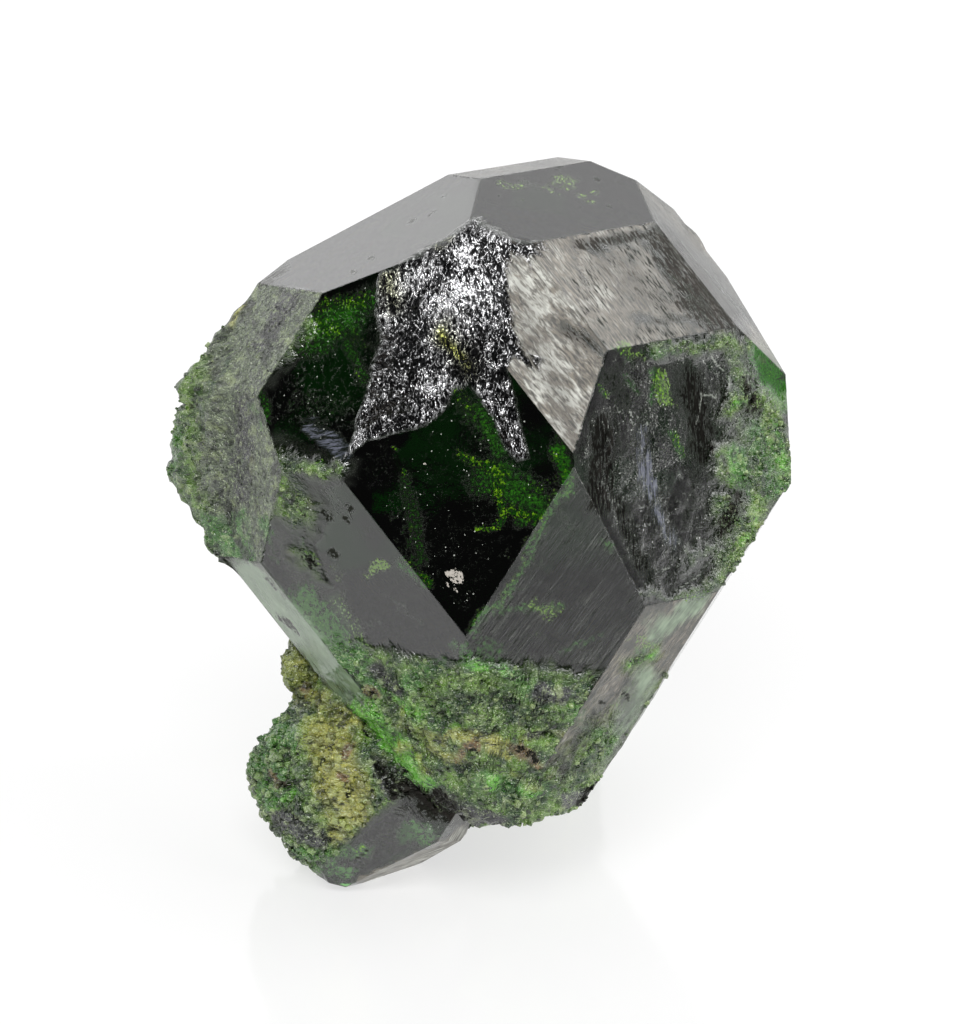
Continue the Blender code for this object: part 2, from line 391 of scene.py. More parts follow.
def crust_lumps(points):
    """The crust's relief, half standing out and half sunk: round lumps that carry two sizes of shards."""
    total = (lumps(points, LUMP_WIDTH, 2.0) - 0.5) * LUMP_HEIGHT
    for width, height, salt in SHARDS:
        total = total + height * shards(flattened(points), width, salt)[0]
    return total


def shard_tone(points):
    """A tone from 0 to 1 for each shard, the same over all of it, from the numbers of both sizes."""
    return sum(0.5 * shards(flattened(points), width, salt)[1] for width, _, salt in SHARDS)


# The width of the tiles of the faces, in mm: on single faces of the large crystal, on its others in front and
# behind, on the small crystal and on the foot.
TILES = {
    (1, 1, 0): 0.076, (2, 1, -1): 0.1, (1, 1, 2): 0.094, (1, 2, -1): 0.14, (1, 2, 1): 0.135,
    (0, 1, 1): 0.13, (0, 1, -1): 0.17, (1, 1, -2): 0.14, (1, 0, -1): 0.16, (-1, 1, -2): 0.2,
    (-1, 2, -1): 0.2, (-1, 1, 0): 0.24,
}
TILE_IN_FRONT, TILE_BEHIND, TILE_SMALL, TILE_FOOT = 0.24, 0.4, 0.09, 0.2
# Heights in mm: the crust's ledges, one step above another, and its ripple, the etched pits with their width,
# and the silvery skin's ropes with theirs.
LEDGE_STEP, LEDGE_HEIGHT, RIPPLE_HEIGHT = 0.62, 0.11, 0.08
PIT_WIDTH, PIT_HEIGHT = 0.95, 0.04
ROPE_WIDTH, ROPE_HEIGHT = 0.27, 0.075
FOOT_RELIEF = 1.4  # times the height of the crust's lumps elsewhere
# The outline of the silvery skin, in the photograph's pixels.
SILVER_OUTLINE = (
    (381, 272), (400, 262), (440, 243), (470, 222), (476, 218), (486, 228), (502, 236), (508, 240),
    (530, 243), (543, 240), (542, 256), (528, 261), (508, 260), (510, 300), (518, 338), (530, 356),
    (543, 356), (538, 367), (518, 360), (511, 356), (505, 372), (518, 404), (524, 440), (530, 459),
    (518, 461), (506, 450), (496, 424), (485, 408), (470, 383), (455, 388), (445, 408), (422, 426),
    (400, 433), (366, 441), (343, 458), (351, 438), (367, 392), (372, 365), (383, 338), (376, 312),
    (378, 290),
)
# The upper edge of the low crust, in the photograph's pixels: where it begins and where it is full. It falls
# to the right by its slope, and has a height of its own on the low left and the low right face.
LOW_EDGE, LOW_SLOPE = (652.0, 672.0), 0.10
LOW_EDGE_LEFT, LOW_EDGE_RIGHT = (692.0, 702.0), (760.0, 775.0)
# Soft marks, placed in the photograph's pixels: x, y, x, y, width, strength. Crust on the low right face.
LOW_RIGHT_MARKS = (
    (600, 740, 570, 790, 22, 1.0), (630, 668, 655, 655, 9, 1.0), (640, 735, 665, 690, 9, 1.0),
)
# Crust on the crest at the left.
CREST_MARKS = (
    (264, 474, 296, 508, 20, 1.1), (276, 462, 338, 470, 9, 1.0), (258, 378, 300, 325, 9, 0.9),
    (300, 545, 312, 575, 9, 0.6),
)
# Crust on the right etched face.
RIGHT_MARKS = (
    (735, 405, 748, 400, 13, 1.1), (772, 420, 784, 485, 17, 1.2), (730, 455, 738, 482, 13, 1.1),
    (765, 495, 735, 560, 16, 1.1), (725, 508, 735, 520, 13, 1.0), (660, 345, 750, 342, 9, 0.9),
    (750, 435, 760, 500, 14, 0.9), (640, 600, 700, 590, 5, 0.5), (732, 345, 745, 400, 7, 0.8),
    (735, 560, 715, 590, 10, 0.8), (690, 560, 715, 545, 7, 0.5),
)
# Knobs at the rim, whose strength is the most that they rise, in mm.
KNOB_MARKS = (
    (228, 312, 216, 324, 13, 0.34), (196, 342, 188, 352, 9, 0.2), (178, 392, 182, 402, 8, 0.15),
    (694, 231, 702, 241, 5, 0.12),
)
# Painted shade in small pits.
PIT_SHADE_MARKS = (
    (333, 553, 335, 555, 5, 1.2), (325, 514, 328, 518, 5, 1.2), (308, 558, 312, 566, 6, 1.0),
    (348, 506, 352, 512, 4, 1.0), (300, 548, 306, 560, 6, 0.7), (345, 520, 350, 522, 3, 1.0),
    (316, 528, 320, 530, 3, 0.8), (302, 512, 305, 516, 3, 0.8), (322, 572, 326, 580, 3, 0.8),
    (623, 692, 630, 700, 3, 1.0), (600, 702, 604, 704, 2.5, 1.0), (432, 214, 436, 210, 2, 0.9),
    (368, 258, 372, 257, 2, 0.8), (352, 272, 356, 271, 2, 0.8), (410, 222, 414, 221, 2, 0.8),
    (520, 172, 523, 172, 2, 0.8), (610, 205, 613, 206, 2, 0.7), (545, 215, 550, 216, 2, 0.7),
    (388, 236, 392, 234, 1.6, 0.8), (340, 262, 343, 261, 1.6, 0.8), (445, 196, 448, 194, 1.6, 0.8),
    (500, 196, 503, 197, 1.6, 0.7), (575, 206, 578, 207, 1.6, 0.7), (596, 178, 600, 180, 2.5, 0.8),
)
# Places that the etching left smooth.
SMOOTH_MARKS = (
    (757, 350, 768, 372, 13, 1.0), (768, 372, 782, 400, 12, 1.0), (685, 380, 705, 450, 19, 1.0),
    (605, 365, 626, 400, 9, 0.8), (735, 500, 722, 530, 12, 0.9), (640, 570, 625, 590, 10, 0.7),
    (600, 440, 592, 480, 8, 0.7), (690, 520, 680, 540, 8, 0.6), (650, 350, 665, 346, 6, 0.5),
    (744, 384, 750, 410, 8, 0.8),
)
# Places that the pale film left bare, and others where more of it lies.
BARE_MARKS = (
    (658, 238, 722, 314, 19, 1.0), (700, 300, 735, 322, 13, 0.9), (645, 235, 590, 246, 7, 0.7),
    (565, 325, 598, 348, 11, 0.6), (575, 255, 590, 290, 6, 0.35), (640, 320, 700, 322, 8, 0.4),
)
FILM_MARKS = ((512, 262, 560, 312, 24, 0.05), (560, 250, 598, 300, 24, 0.14), (540, 400, 570, 445, 12, 0.05))
# What is painted on the large crystal, by the stored value that the marks make.
LARGE_MARKS = {
    # Painted light: bright green glow from inside the crystal.
    "glow": (
        (458, 389, 470, 410, 12, 0.55), (470, 410, 491, 440, 12, 0.35), (456, 457, 487, 466, 7, 0.8),
        (487, 466, 502, 474, 8, 1.0), (500, 474, 497, 495, 7, 0.9), (497, 495, 503, 512, 6, 1.0),
        (503, 512, 498, 524, 5, 0.9), (478, 528, 498, 526, 4, 1.0), (505, 510, 515, 507, 7, 0.8),
        (515, 512, 543, 519, 6, 0.9), (556, 455, 563, 470, 8, 0.6), (530, 490, 556, 478, 14, 0.45),
        (391, 495, 391, 520, 7, 0.35), (409, 525, 413, 534, 5, 0.5), (405, 556, 411, 564, 5, 0.9),
        (421, 576, 432, 584, 5, 0.8), (395, 540, 425, 575, 6, 0.4), (392, 448, 398, 452, 4, 0.6),
        (404, 473, 405, 475, 3, 0.8), (312, 464, 320, 462, 5, 1.0), (340, 470, 342, 467, 5, 1.0),
        (325, 306, 362, 300, 12, 0.7), (312, 323, 335, 330, 11, 0.65), (350, 330, 368, 345, 10, 0.45),
        (268, 372, 300, 330, 9, 0.35), (300, 410, 345, 420, 12, 0.2), (355, 372, 365, 380, 6, 0.5),
        (658, 372, 664, 396, 8, 0.7), (622, 350, 630, 356, 7, 0.6), (603, 388, 607, 396, 6, 0.7),
        (675, 434, 678, 443, 4, 1.1), (682, 448, 684, 454, 4, 1.0), (762, 356, 770, 374, 7, 0.4),
        (774, 404, 780, 408, 5, 0.6), (733, 408, 745, 400, 9, 0.55), (730, 455, 735, 480, 12, 0.6),
        (770, 440, 778, 470, 12, 0.55), (720, 505, 735, 520, 9, 0.5), (684, 598, 705, 594, 7, 0.7),
    ),
    # Painted light: green shining through the crystal's thin parts and round its inner glows, over its deep
    # green.
    "emerald": (
        (757, 350, 768, 372, 15, 1.4), (768, 375, 782, 402, 13, 1.4), (655, 372, 668, 402, 9, 0.8),
        (480, 410, 500, 450, 14, 0.6), (480, 480, 540, 500, 22, 0.62),
        (556, 450, 566, 480, 9, 0.9), (520, 520, 545, 515, 12, 0.6), (405, 480, 425, 560, 11, 0.5),
        (400, 560, 425, 585, 8, 0.7), (310, 330, 372, 300, 19, 0.62), (350, 345, 365, 380, 10, 0.6),
        (262, 395, 270, 420, 8, 0.6), (300, 350, 330, 345, 14, 0.55), (625, 375, 640, 390, 7, 0.6),
        (672, 432, 684, 455, 6, 0.8), (650, 400, 660, 380, 8, 0.7), (730, 462, 735, 475, 7, 0.7),
        (768, 425, 775, 440, 7, 0.7),
    ),
    "moss": (
        (370, 571, 384, 563, 8, 1.2), (300, 545, 315, 562, 7, 0.7), (335, 570, 350, 600, 7, 0.5),
        (340, 600, 365, 650, 16, 0.6), (300, 600, 325, 640, 12, 0.4), (662, 374, 668, 402, 8, 1.0),
        (570, 478, 508, 586, 7, 0.5), (505, 590, 478, 628, 6, 0.5), (625, 350, 645, 356, 6, 0.8),
        (535, 603, 556, 610, 9, 0.7), (505, 560, 520, 545, 6, 0.4), (505, 186, 520, 190, 8, 0.66),
        (555, 178, 574, 184, 8, 0.68), (584, 196, 592, 200, 5, 0.8), (548, 188, 560, 192, 5, 0.6),
        (640, 640, 655, 648, 9, 0.8), (540, 640, 560, 600, 12, 0.4), (264, 478, 298, 510, 15, 0.75),
        (270, 470, 335, 468, 7, 0.6), (600, 720, 640, 690, 9, 0.5), (690, 610, 700, 602, 6, 0.5),
    ),
    "fern": (
        (300, 600, 345, 655, 22, 1.15), (345, 655, 370, 690, 17, 1.05), (330, 640, 380, 620, 10, 0.5),
        (290, 530, 310, 560, 10, 0.6), (378, 590, 420, 620, 8, 0.45), (262, 520, 275, 560, 10, 0.7),
        (500, 610, 560, 605, 8, 0.8), (520, 590, 545, 560, 6, 0.5), (480, 640, 500, 650, 9, 0.8),
        (600, 640, 560, 650, 8, 0.7), (455, 640, 470, 655, 8, 0.9), (480, 650, 530, 690, 16, 0.7),
        (560, 700, 600, 740, 16, 0.6), (480, 780, 540, 790, 14, 0.8), (400, 690, 440, 660, 14, 0.7),
        (640, 650, 655, 640, 8, 0.8), (600, 760, 615, 735, 9, 0.6), (185, 420, 180, 480, 12, 0.8),
        (215, 520, 240, 560, 12, 0.9), (238, 520, 248, 556, 10, 1.1), (205, 340, 190, 370, 10, 0.8),
        (250, 400, 262, 430, 6, 0.6), (520, 183, 545, 190, 9, 0.5), (640, 352, 672, 350, 9, 0.7),
        (615, 348, 630, 362, 8, 0.6), (735, 455, 745, 490, 14, 0.9), (755, 430, 778, 490, 16, 1.0),
        (720, 505, 735, 515, 9, 0.6), (600, 540, 610, 548, 7, 0.8), (640, 640, 700, 600, 9, 0.4),
        (572, 480, 510, 588, 8, 0.9), (507, 592, 476, 632, 8, 0.9), (550, 500, 575, 530, 12, 0.55),
        (560, 600, 590, 620, 12, 0.4), (560, 560, 590, 600, 14, 0.35),
    ),
    # Pale grey green, partly painted reflection of the white floor on smooth faces.
    "jade": (
        (250, 575, 350, 690, 16, 1.2), (360, 650, 430, 680, 18, 0.5), (655, 632, 700, 600, 14, 0.85),
        (600, 760, 650, 680, 18, 0.8), (415, 835, 440, 826, 14, 0.7), (335, 868, 350, 874, 10, 0.6),
        (560, 800, 590, 770, 14, 0.5), (335, 600, 360, 650, 18, 0.5), (300, 590, 320, 650, 14, 0.3),
    ),
    "lime": (
        (359, 702, 391, 740, 11, 1.0), (391, 740, 430, 785, 12, 1.0), (489, 783, 491, 785, 7, 1.2),
        (385, 692, 425, 708, 12, 0.5), (420, 715, 450, 735, 10, 0.55), (485, 655, 500, 668, 8, 0.8),
        (425, 800, 450, 785, 8, 0.5), (440, 700, 460, 735, 9, 0.5), (461, 655, 481, 668, 9, 0.9),
        (516, 790, 532, 792, 9, 0.6), (400, 705, 415, 720, 12, 0.7), (630, 668, 660, 655, 8, 0.7),
        (732, 408, 745, 402, 7, 0.6), (728, 460, 735, 478, 8, 0.45), (776, 425, 780, 470, 7, 0.6),
        (745, 540, 758, 515, 8, 0.45), (722, 512, 732, 518, 6, 0.5),
    ),
    "yellow": (
        (430, 745, 462, 762, 13, 0.6), (440, 735, 505, 738, 8, 0.8), (492, 744, 506, 752, 7, 0.9),
        (235, 304, 226, 316, 12, 1.0), (180, 390, 182, 402, 9, 1.0), (520, 735, 580, 730, 8, 0.5),
        (400, 720, 440, 740, 14, 0.5), (190, 335, 202, 346, 9, 0.9), (400, 745, 430, 770, 9, 0.6),
        (540, 655, 600, 660, 11, 0.55), (470, 700, 520, 702, 8, 0.4), (510, 770, 540, 790, 9, 0.5),
        (228, 300, 238, 306, 10, 1.0),
    ),
    "brown": (
        (468, 745, 480, 743, 7, 0.9), (514, 745, 538, 766, 9, 0.9), (366, 692, 372, 700, 7, 0.8),
        (455, 758, 462, 752, 6, 0.8), (520, 705, 600, 700, 12, 0.4), (445, 645, 460, 650, 7, 0.7),
    ),
    "slate": (
        (290, 298, 262, 345, 13, 0.8), (245, 400, 243, 500, 12, 0.7), (225, 475, 238, 545, 8, 0.5),
        (262, 385, 250, 400, 7, 0.6), (232, 365, 225, 400, 9, 0.4), (535, 688, 563, 694, 10, 1.1),
        (528, 733, 545, 733, 7, 0.7), (375, 672, 400, 690, 11, 0.7), (440, 797, 500, 820, 9, 0.8),
        (560, 802, 590, 795, 8, 0.8), (575, 700, 600, 712, 9, 0.5),
    ),
    "dull": (
        (235, 330, 225, 480, 26, 0.9), (228, 480, 240, 520, 16, 0.6), (280, 300, 262, 380, 18, 1.0),
        (560, 730, 600, 720, 16, 0.6), (545, 780, 600, 770, 14, 0.5), (440, 790, 500, 825, 10, 1.0),
    ),
    "murk": (
        (405, 500, 420, 560, 26, 0.5), (470, 410, 500, 450, 22, 0.7), (500, 470, 540, 510, 26, 0.8),
        (310, 330, 350, 320, 26, 0.9), (300, 400, 340, 410, 24, 0.5), (610, 380, 640, 420, 22, 0.5),
        (740, 380, 770, 420, 22, 0.8), (560, 440, 566, 470, 12, 0.7), (620, 480, 640, 560, 20, 0.25),
    ),
    "soot": (
        (660, 240, 728, 318, 17, 0.8), (735, 322, 612, 340, 7, 0.5), (645, 236, 560, 244, 5, 0.6),
        (640, 270, 660, 310, 14, 0.35), (560, 330, 575, 350, 8, 0.5), (600, 330, 606, 344, 6, 0.5),
        (514, 250, 530, 262, 5, 0.6), (700, 300, 720, 345, 6, 0.8), (745, 350, 765, 360, 8, 0.6),
        (255, 300, 270, 285, 9, 0.7),
    ),
    # Painted shade: cavities in the crust, pits, the shadow under the large crystal's overhang and black
    # places on the etched faces.
    "shade": (
        (660, 240, 718, 310, 9, 0.35), (690, 285, 722, 320, 8, 0.4), (675, 244, 682, 250, 2.5, 0.8),
        (700, 272, 712, 282, 3, 0.8), (718, 278, 726, 285, 3, 0.8),
        (435, 797, 450, 806, 6, 0.6), (405, 805, 425, 800, 5, 0.5), (688, 385, 700, 445, 18, 0.6),
        (650, 350, 605, 374, 8, 0.5), (610, 378, 628, 402, 11, 0.55), (600, 430, 590, 480, 12, 0.5),
        (650, 590, 638, 555, 11, 0.6), (737, 498, 722, 530, 12, 0.7), (722, 385, 712, 425, 10, 0.6),
        (742, 382, 752, 415, 9, 0.65), (630, 500, 625, 560, 11, 0.45), (660, 575, 700, 580, 9, 0.45),
        (695, 470, 690, 525, 11, 0.5), (715, 430, 738, 442, 8, 0.55), (620, 440, 628, 480, 9, 0.4),
        (605, 500, 612, 520, 7, 0.4), (660, 365, 690, 368, 8, 0.4), (515, 745, 535, 760, 6, 1.0),
        (472, 747, 478, 750, 4, 0.9), (520, 700, 512, 697, 3, 0.8), (440, 770, 446, 768, 4, 0.8),
        (560, 770, 556, 780, 4, 0.7), (480, 660, 500, 668, 4, 0.6), (400, 660, 380, 690, 6, 0.45),
        (430, 715, 455, 722, 4, 0.55), (600, 655, 575, 660, 4, 0.5), (596, 786, 582, 805, 5, 1.0),
        (216, 548, 240, 578, 3.5, 1.0), (248, 590, 262, 600, 3, 0.9), (275, 612, 300, 636, 3, 1.0),
        (262, 575, 275, 590, 3, 0.8), (300, 295, 268, 330, 10, 0.5), (240, 400, 243, 520, 8, 0.45),
        (232, 500, 242, 545, 7, 0.45), (290, 440, 330, 455, 9, 0.5), (405, 410, 365, 424, 7, 0.6),
        (397, 395, 384, 402, 8, 0.5), (385, 345, 388, 375, 6, 0.5), (420, 300, 400, 310, 6, 0.45),
        (500, 415, 510, 440, 6, 0.5), (515, 350, 530, 355, 5, 0.6), (405, 330, 425, 350, 6, 0.5),
        (455, 372, 470, 366, 5, 0.5), (250, 475, 258, 520, 5, 0.5), (228, 500, 245, 555, 9, 0.4),
        (460, 760, 500, 775, 10, 0.42), (600, 690, 560, 745, 12, 0.35),
    ),
    # Dark film, and painted shadow in the gap under the large crystal's overhang and on the etched faces'
    # dark places.
    "smudge": (
        (660, 236, 732, 322, 14, 1.15), (646, 235, 575, 245, 7, 1.0), (680, 296, 712, 324, 13, 0.9),
        (664, 250, 706, 308, 17, 1.1), (668, 235, 748, 336, 3, 0.9), (610, 262, 668, 305, 26, 0.5),
        (566, 330, 592, 346, 10, 0.7), (530, 320, 575, 440, 22, 0.42), (600, 250, 640, 330, 18, 0.4),
        (690, 300, 715, 322, 13, 1.0), (655, 322, 700, 316, 7, 0.6), (520, 285, 540, 330, 14, 0.35),
        (604, 425, 600, 500, 16, 1.0), (606, 470, 640, 565, 12, 0.65), (692, 378, 704, 450, 16, 0.9),
        (324, 488, 340, 512, 9, 0.4), (300, 520, 316, 560, 9, 0.4), (735, 498, 722, 530, 10, 0.8),
        (745, 380, 752, 410, 7, 0.7), (374, 400, 386, 340, 10, 0.75), (402, 398, 362, 424, 9, 0.8),
        (384, 296, 380, 330, 6, 0.6), (424, 792, 456, 808, 11, 1.2), (468, 766, 490, 762, 7, 0.5),
        (496, 428, 520, 455, 5, 0.6), (536, 250, 515, 246, 4, 0.5), (500, 162, 560, 166, 4, 0.7),
        (285, 268, 262, 286, 5, 0.8), (512, 745, 538, 760, 7, 0.6), (650, 420, 652, 560, 9, 0.3),
        (440, 790, 470, 812, 7, 0.7),
    ),
    "brushed": (
        (642, 430, 650, 492, 11, 1.0), (652, 492, 671, 545, 11, 0.8), (610, 440, 622, 520, 8, 0.3),
        (312, 424, 338, 444, 12, 1.0), (330, 440, 345, 455, 7, 0.8), (655, 550, 690, 572, 9, 0.45),
    ),
    "white": (
        (449, 575, 456, 573, 3, 1.0), (455, 580, 461, 581, 3.5, 1.0), (460, 574, 463, 577, 2.5, 0.9),
        (456, 590, 458, 592, 2, 0.7), (425, 463, 426, 464, 1.5, 0.8), (448, 584, 449, 586, 1.5, 0.8),
    ),
    "lines": (
        (711, 356, 718, 366, 1.6, 1.0), (718, 366, 731, 378, 1.6, 1.0), (731, 378, 729, 388, 1.6, 0.9),
        (696, 393, 714, 395, 2.5, 0.9), (702, 397, 697, 420, 1.6, 1.0), (697, 420, 693, 430, 1.6, 0.9),
        (704, 403, 728, 404, 1.6, 0.8), (693, 430, 703, 470, 1.3, 0.5), (686, 500, 694, 488, 1.5, 0.8),
        (676, 590, 700, 574, 1.6, 1.0), (700, 574, 712, 560, 1.4, 0.8), (655, 575, 670, 566, 1.5, 0.8),
    ),
    # Painted sheen: where the silvery skin's facets catch the light more often.
    "sheen": (
        (460, 295, 445, 320, 24, 0.85), (425, 268, 405, 285, 14, 0.6), (440, 385, 425, 390, 9, 0.7),
        (480, 235, 500, 250, 12, 0.2), (385, 320, 380, 345, 7, 0.8), (360, 440, 352, 450, 8, 0.9),
        (465, 255, 470, 275, 14, 0.6), (480, 395, 520, 445, 8, 0.3),
    ),
    # Painted yellow tint of the silvery skin's glints.
    "gilt": ((444, 334, 470, 366, 11, 1.0), (438, 246, 446, 240, 6, 0.8), (388, 272, 392, 300, 12, 0.6)),
}


def large_crystal(material):
    """The large crystal: flat garnet faces tiled as polar grids, then raised by crust and etching."""
    faces, normals, distances = crystal_planes(MAIN_SIZE, MAIN_FACES, MAIN_TURN)
    cells = np.array([
        TILES.get(face, TILE_IN_FRONT if normal @ TOWARDS > 0.1 else TILE_BEHIND)
        for face, normal in zip(faces, normals)])
    points, triangles = tiled_crystal(normals, distances, cells)
    room = distances - points @ normals.T
    to_edge = np.sort(room, axis=1)[:, 1]
    nearest = np.argmin(room, axis=1)
    direction = point_normals(points, triangles)
    front = facing(direction)
    places = in_picture(points)
    wander = drift(points)
    ragged = places + RAGGED * wander
    frayed = places + FRAYED * wander + FRINGED * drift(points, 0.3, 31.0)
    on = {face: (nearest == number).astype(float) for number, face in enumerate(faces)}

    # Where the crust lies: below, at the left, in patches on the back and in strips on the right faces.
    clean = distances[faces.index(CLEAN_FACE)] - points @ normals[faces.index(CLEAN_FACE)]
    below = ramp(-(points @ UP), MAIN_CRUST_BELOW, CRUST_FADE)
    left = ramp(-points[:, 0], MAIN_CRUST_LEFT, CRUST_FADE)
    kept = ramp(clean, CLEAN_MARGIN, CRUST_FADE)
    raised = np.maximum(below, left) * kept
    patchy = clouds(points, 1.6, 11.0)
    low = ease_between(frayed[:, 1] - LOW_SLOPE * (places[:, 0] - CRYSTAL_AT[0]), *LOW_EDGE) * front
    right_patches = np.maximum(strokes(frayed, LOW_RIGHT_MARKS), ease_between(frayed[:, 1], *LOW_EDGE_RIGHT))
    low = np.where(on[(0, 1, 1)] > 0, right_patches * front, low)
    low = np.where(on[(0, 1, -1)] > 0, ease_between(frayed[:, 1], *LOW_EDGE_LEFT) * front, low)
    behind = ease_between(-(direction @ TOWARDS), 0.4, 0.6)
    skin = np.maximum(on[(1, 0, -1)], on[(1, 1, -2)]) * front
    crust = np.maximum.reduce([
        low, raised * (1.0 - front) * ease_between(patchy, -0.9, -0.3), skin,
        behind * ease_between(patchy + 0.4 * clouds(points, 0.4, 61.0), 0.15, 0.5),
        strokes(frayed, CREST_MARKS) * front, on[(1, 1, 2)] * strokes(frayed, RIGHT_MARKS) * front,
    ])

    inside_silver = outline_distance(places + 3.5 * wander, SILVER_OUTLINE)
    silver = ease_between(inside_silver, -1.0, 2.5) * front
    middle, right, upper_left = on[(1, 1, 0)], on[(1, 1, 2)], on[(2, 1, -1)]
    etched = (middle + right + upper_left) * ramp(to_edge, 0.08, 0.2)
    etched *= ease_between(clouds(points, 1.1, 81.0), -0.8, -0.1)
    etched *= 1.0 - strokes(ragged, SMOOTH_MARKS).clip(0.0, 1.0)
    painted = {
        label: front * strokes(
            frayed if label == "moss" else places + WANDERS.get(label, RAGGED) * wander, marks)
        for label, marks in LARGE_MARKS.items()}

    # How far each point stands out. The lowest places are kept as hollows, which get painted shade.
    ripple = clouds(points, 0.55, 51.0)
    terraces = np.modf(np.abs(points @ UP + 0.35 * wander[:, 0] + 20.0) / LEDGE_STEP)[0]
    shelf = LEDGE_HEIGHT * (1.0 - terraces) * below + RIPPLE_HEIGHT * ripple
    full = crust_lumps(points)
    relief = (full + LEFT_SWELL * left + shelf) * raised * (0.15 + 0.85 * crust)
    relief += (0.35 * full + 0.05 * ripple + 0.03) * crust * (1.0 - raised) * (1.0 - 0.6 * skin)
    hollow = ease_between(-(full + shelf * below), -0.02, 0.2) * crust
    pits = (lumps(points, PIT_WIDTH, 5.0) - 0.6) * PIT_HEIGHT + 0.004 * clouds(points, 0.22, 57.0, 2)
    relief += pits * etched * (1.0 - silver)
    ropes = 1.0 - 2.0 * np.abs(clouds(points + 0.05 * wander[:, :1], ROPE_WIDTH, 41.0, 2))
    relief += silver * (ROPE_HEIGHT * ropes + 0.03 * clouds(points, 0.9, 44.0) - 0.05)
    relief += strokes(places, KNOB_MARKS) * ease_between(direction @ TOWARDS, -0.4, 0.0)
    unworn = points
    points = points + direction * relief[:, None]

    strength, film = (
        np.array([values.get(face, usual) for face in faces])[nearest]
        for values, usual in (({face: row[0] for face, row in STREAKS.items()}, 0.8), (BLOOM, 0.03)))
    film = film + strokes(ragged, FILM_MARKS) * front
    values = {
        **painted, "crust": crust, "silver": silver, "etched": etched, "hollow": hollow,
        "dull": np.maximum(painted["dull"], skin * ease_between(ragged[:, 0], 205.0, 232.0)),
        "yellow": np.maximum(painted["yellow"], 0.5 * ease_between(patchy, 0.2, 0.9)),
        "brown": np.maximum(painted["brown"], 0.5 * ease_between(-patchy, 0.5, 1.0)),
        "threads": (0.2 + 0.8 * etched) * (right + 0.3 * middle + 0.5 * upper_left) * front,
        "shade": np.maximum(painted["shade"], strokes(places + 2.0 * wander, PIT_SHADE_MARKS) * front),
        "grain": streak_places(points, faces, normals, nearest),
        "streaked": strength * ease_between(clouds(points, 0.9, 91.0), -1.3, 0.3),
        "bloom": film * (1.0 - strokes(ragged, BARE_MARKS).clip(0.0, 1.0)),
        "tone": 0.5 + (shard_tone(unworn) - 0.5) * crust,
    }
    mesh_piece("large_crystal", points, triangles, material, values, MAIN_CENTRE)
    return points, direction, values


# How far each face is scored by growth lines, the angle of the lines in the picture, in degrees, and how far
# they are drawn out.
STREAKS = {
    (1, 0, 1): (1.1, -52.0, 1.0), (2, 1, 1): (0.8, -48.0, 0.8), (1, 2, 1): (0.95, 58.0, 3.5),
    (1, -1, 2): (1.0, -55.0, 2.5), (1, -1, 0): (1.0, 8.0, 1.0), (2, -1, 1): (0.08, 3.0, 1.0),
    (1, 2, -1): (0.22, -60.0, 1.0), (0, 1, 1): (0.12, 55.0, 1.0), (1, 1, 2): (0.1, -80.0, 1.0),
    (1, 1, 0): (0.1, 0.0, 1.0), (2, 1, -1): (0.1, 0.0, 1.0), (2, -1, -1): (0.1, 25.0, 1.0),
    (1, 0, -1): (0.5, 60.0, 1.0), (1, 1, -2): (0.5, 80.0, 1.0),
}
# Pale film left on the faces, from a dull coat of the rock that they grew against.
BLOOM = {
    (1, 0, 1): 0.58, (2, 1, 1): 0.82, (1, -1, 2): 0.5, (0, 1, -1): 0.4, (0, 1, 1): 0.5, (1, 2, -1): 0.1,
    (1, 2, 1): 0.1, (1, 0, -1): 0.35, (1, 1, -2): 0.3, (1, -1, 0): 0.4, (1, 1, 0): 0.0, (2, 1, -1): 0.0,
    (1, 1, 2): 0.0, (2, -1, 1): 0.06,
}


def streak_places(points, faces, normals, nearest):
    """Places along and across each face's growth lines, in mm, with the face's number as the third."""
    result = np.zeros_like(points)
    for number, face in enumerate(faces):
        _, degrees, length = STREAKS.get(face, (0.8, 40.0 + 37.0 * number, 2.0))
        angle = math.radians(degrees)
        normal = normals[number]
        wanted = math.cos(angle) * RIGHT + math.sin(angle) * UP
        along = wanted - (wanted @ normal) * normal
        along /= max(np.linalg.norm(along), 1e-6)
        chosen = nearest == number
        result[chosen, 0] = points[chosen] @ along / length
        result[chosen, 1] = points[chosen] @ np.cross(normal, along)
        result[chosen, 2] = 3.7 * number
    return result


def crusty_values(points, crust, extra):
    """The stored values of a piece that is mostly crust: patches by clouds, and what extra gives."""
    patchy = clouds(points, 1.2, 21.0)
    none = np.zeros(len(points))
    values = dict.fromkeys(STORED, none)
    values.update({
        "crust": crust, "hollow": ease_between(-crust_lumps(points), -0.02, 0.2) * crust,
        "yellow": 0.8 * ease_between(patchy, -0.1, 0.8), "brown": 0.7 * ease_between(-patchy, 0.3, 0.9),
        "grain": points + 0.0, "streaked": none + 0.1, "bloom": none + 0.05, "tone": shard_tone(points),
    })
    values.update(extra)
    return values


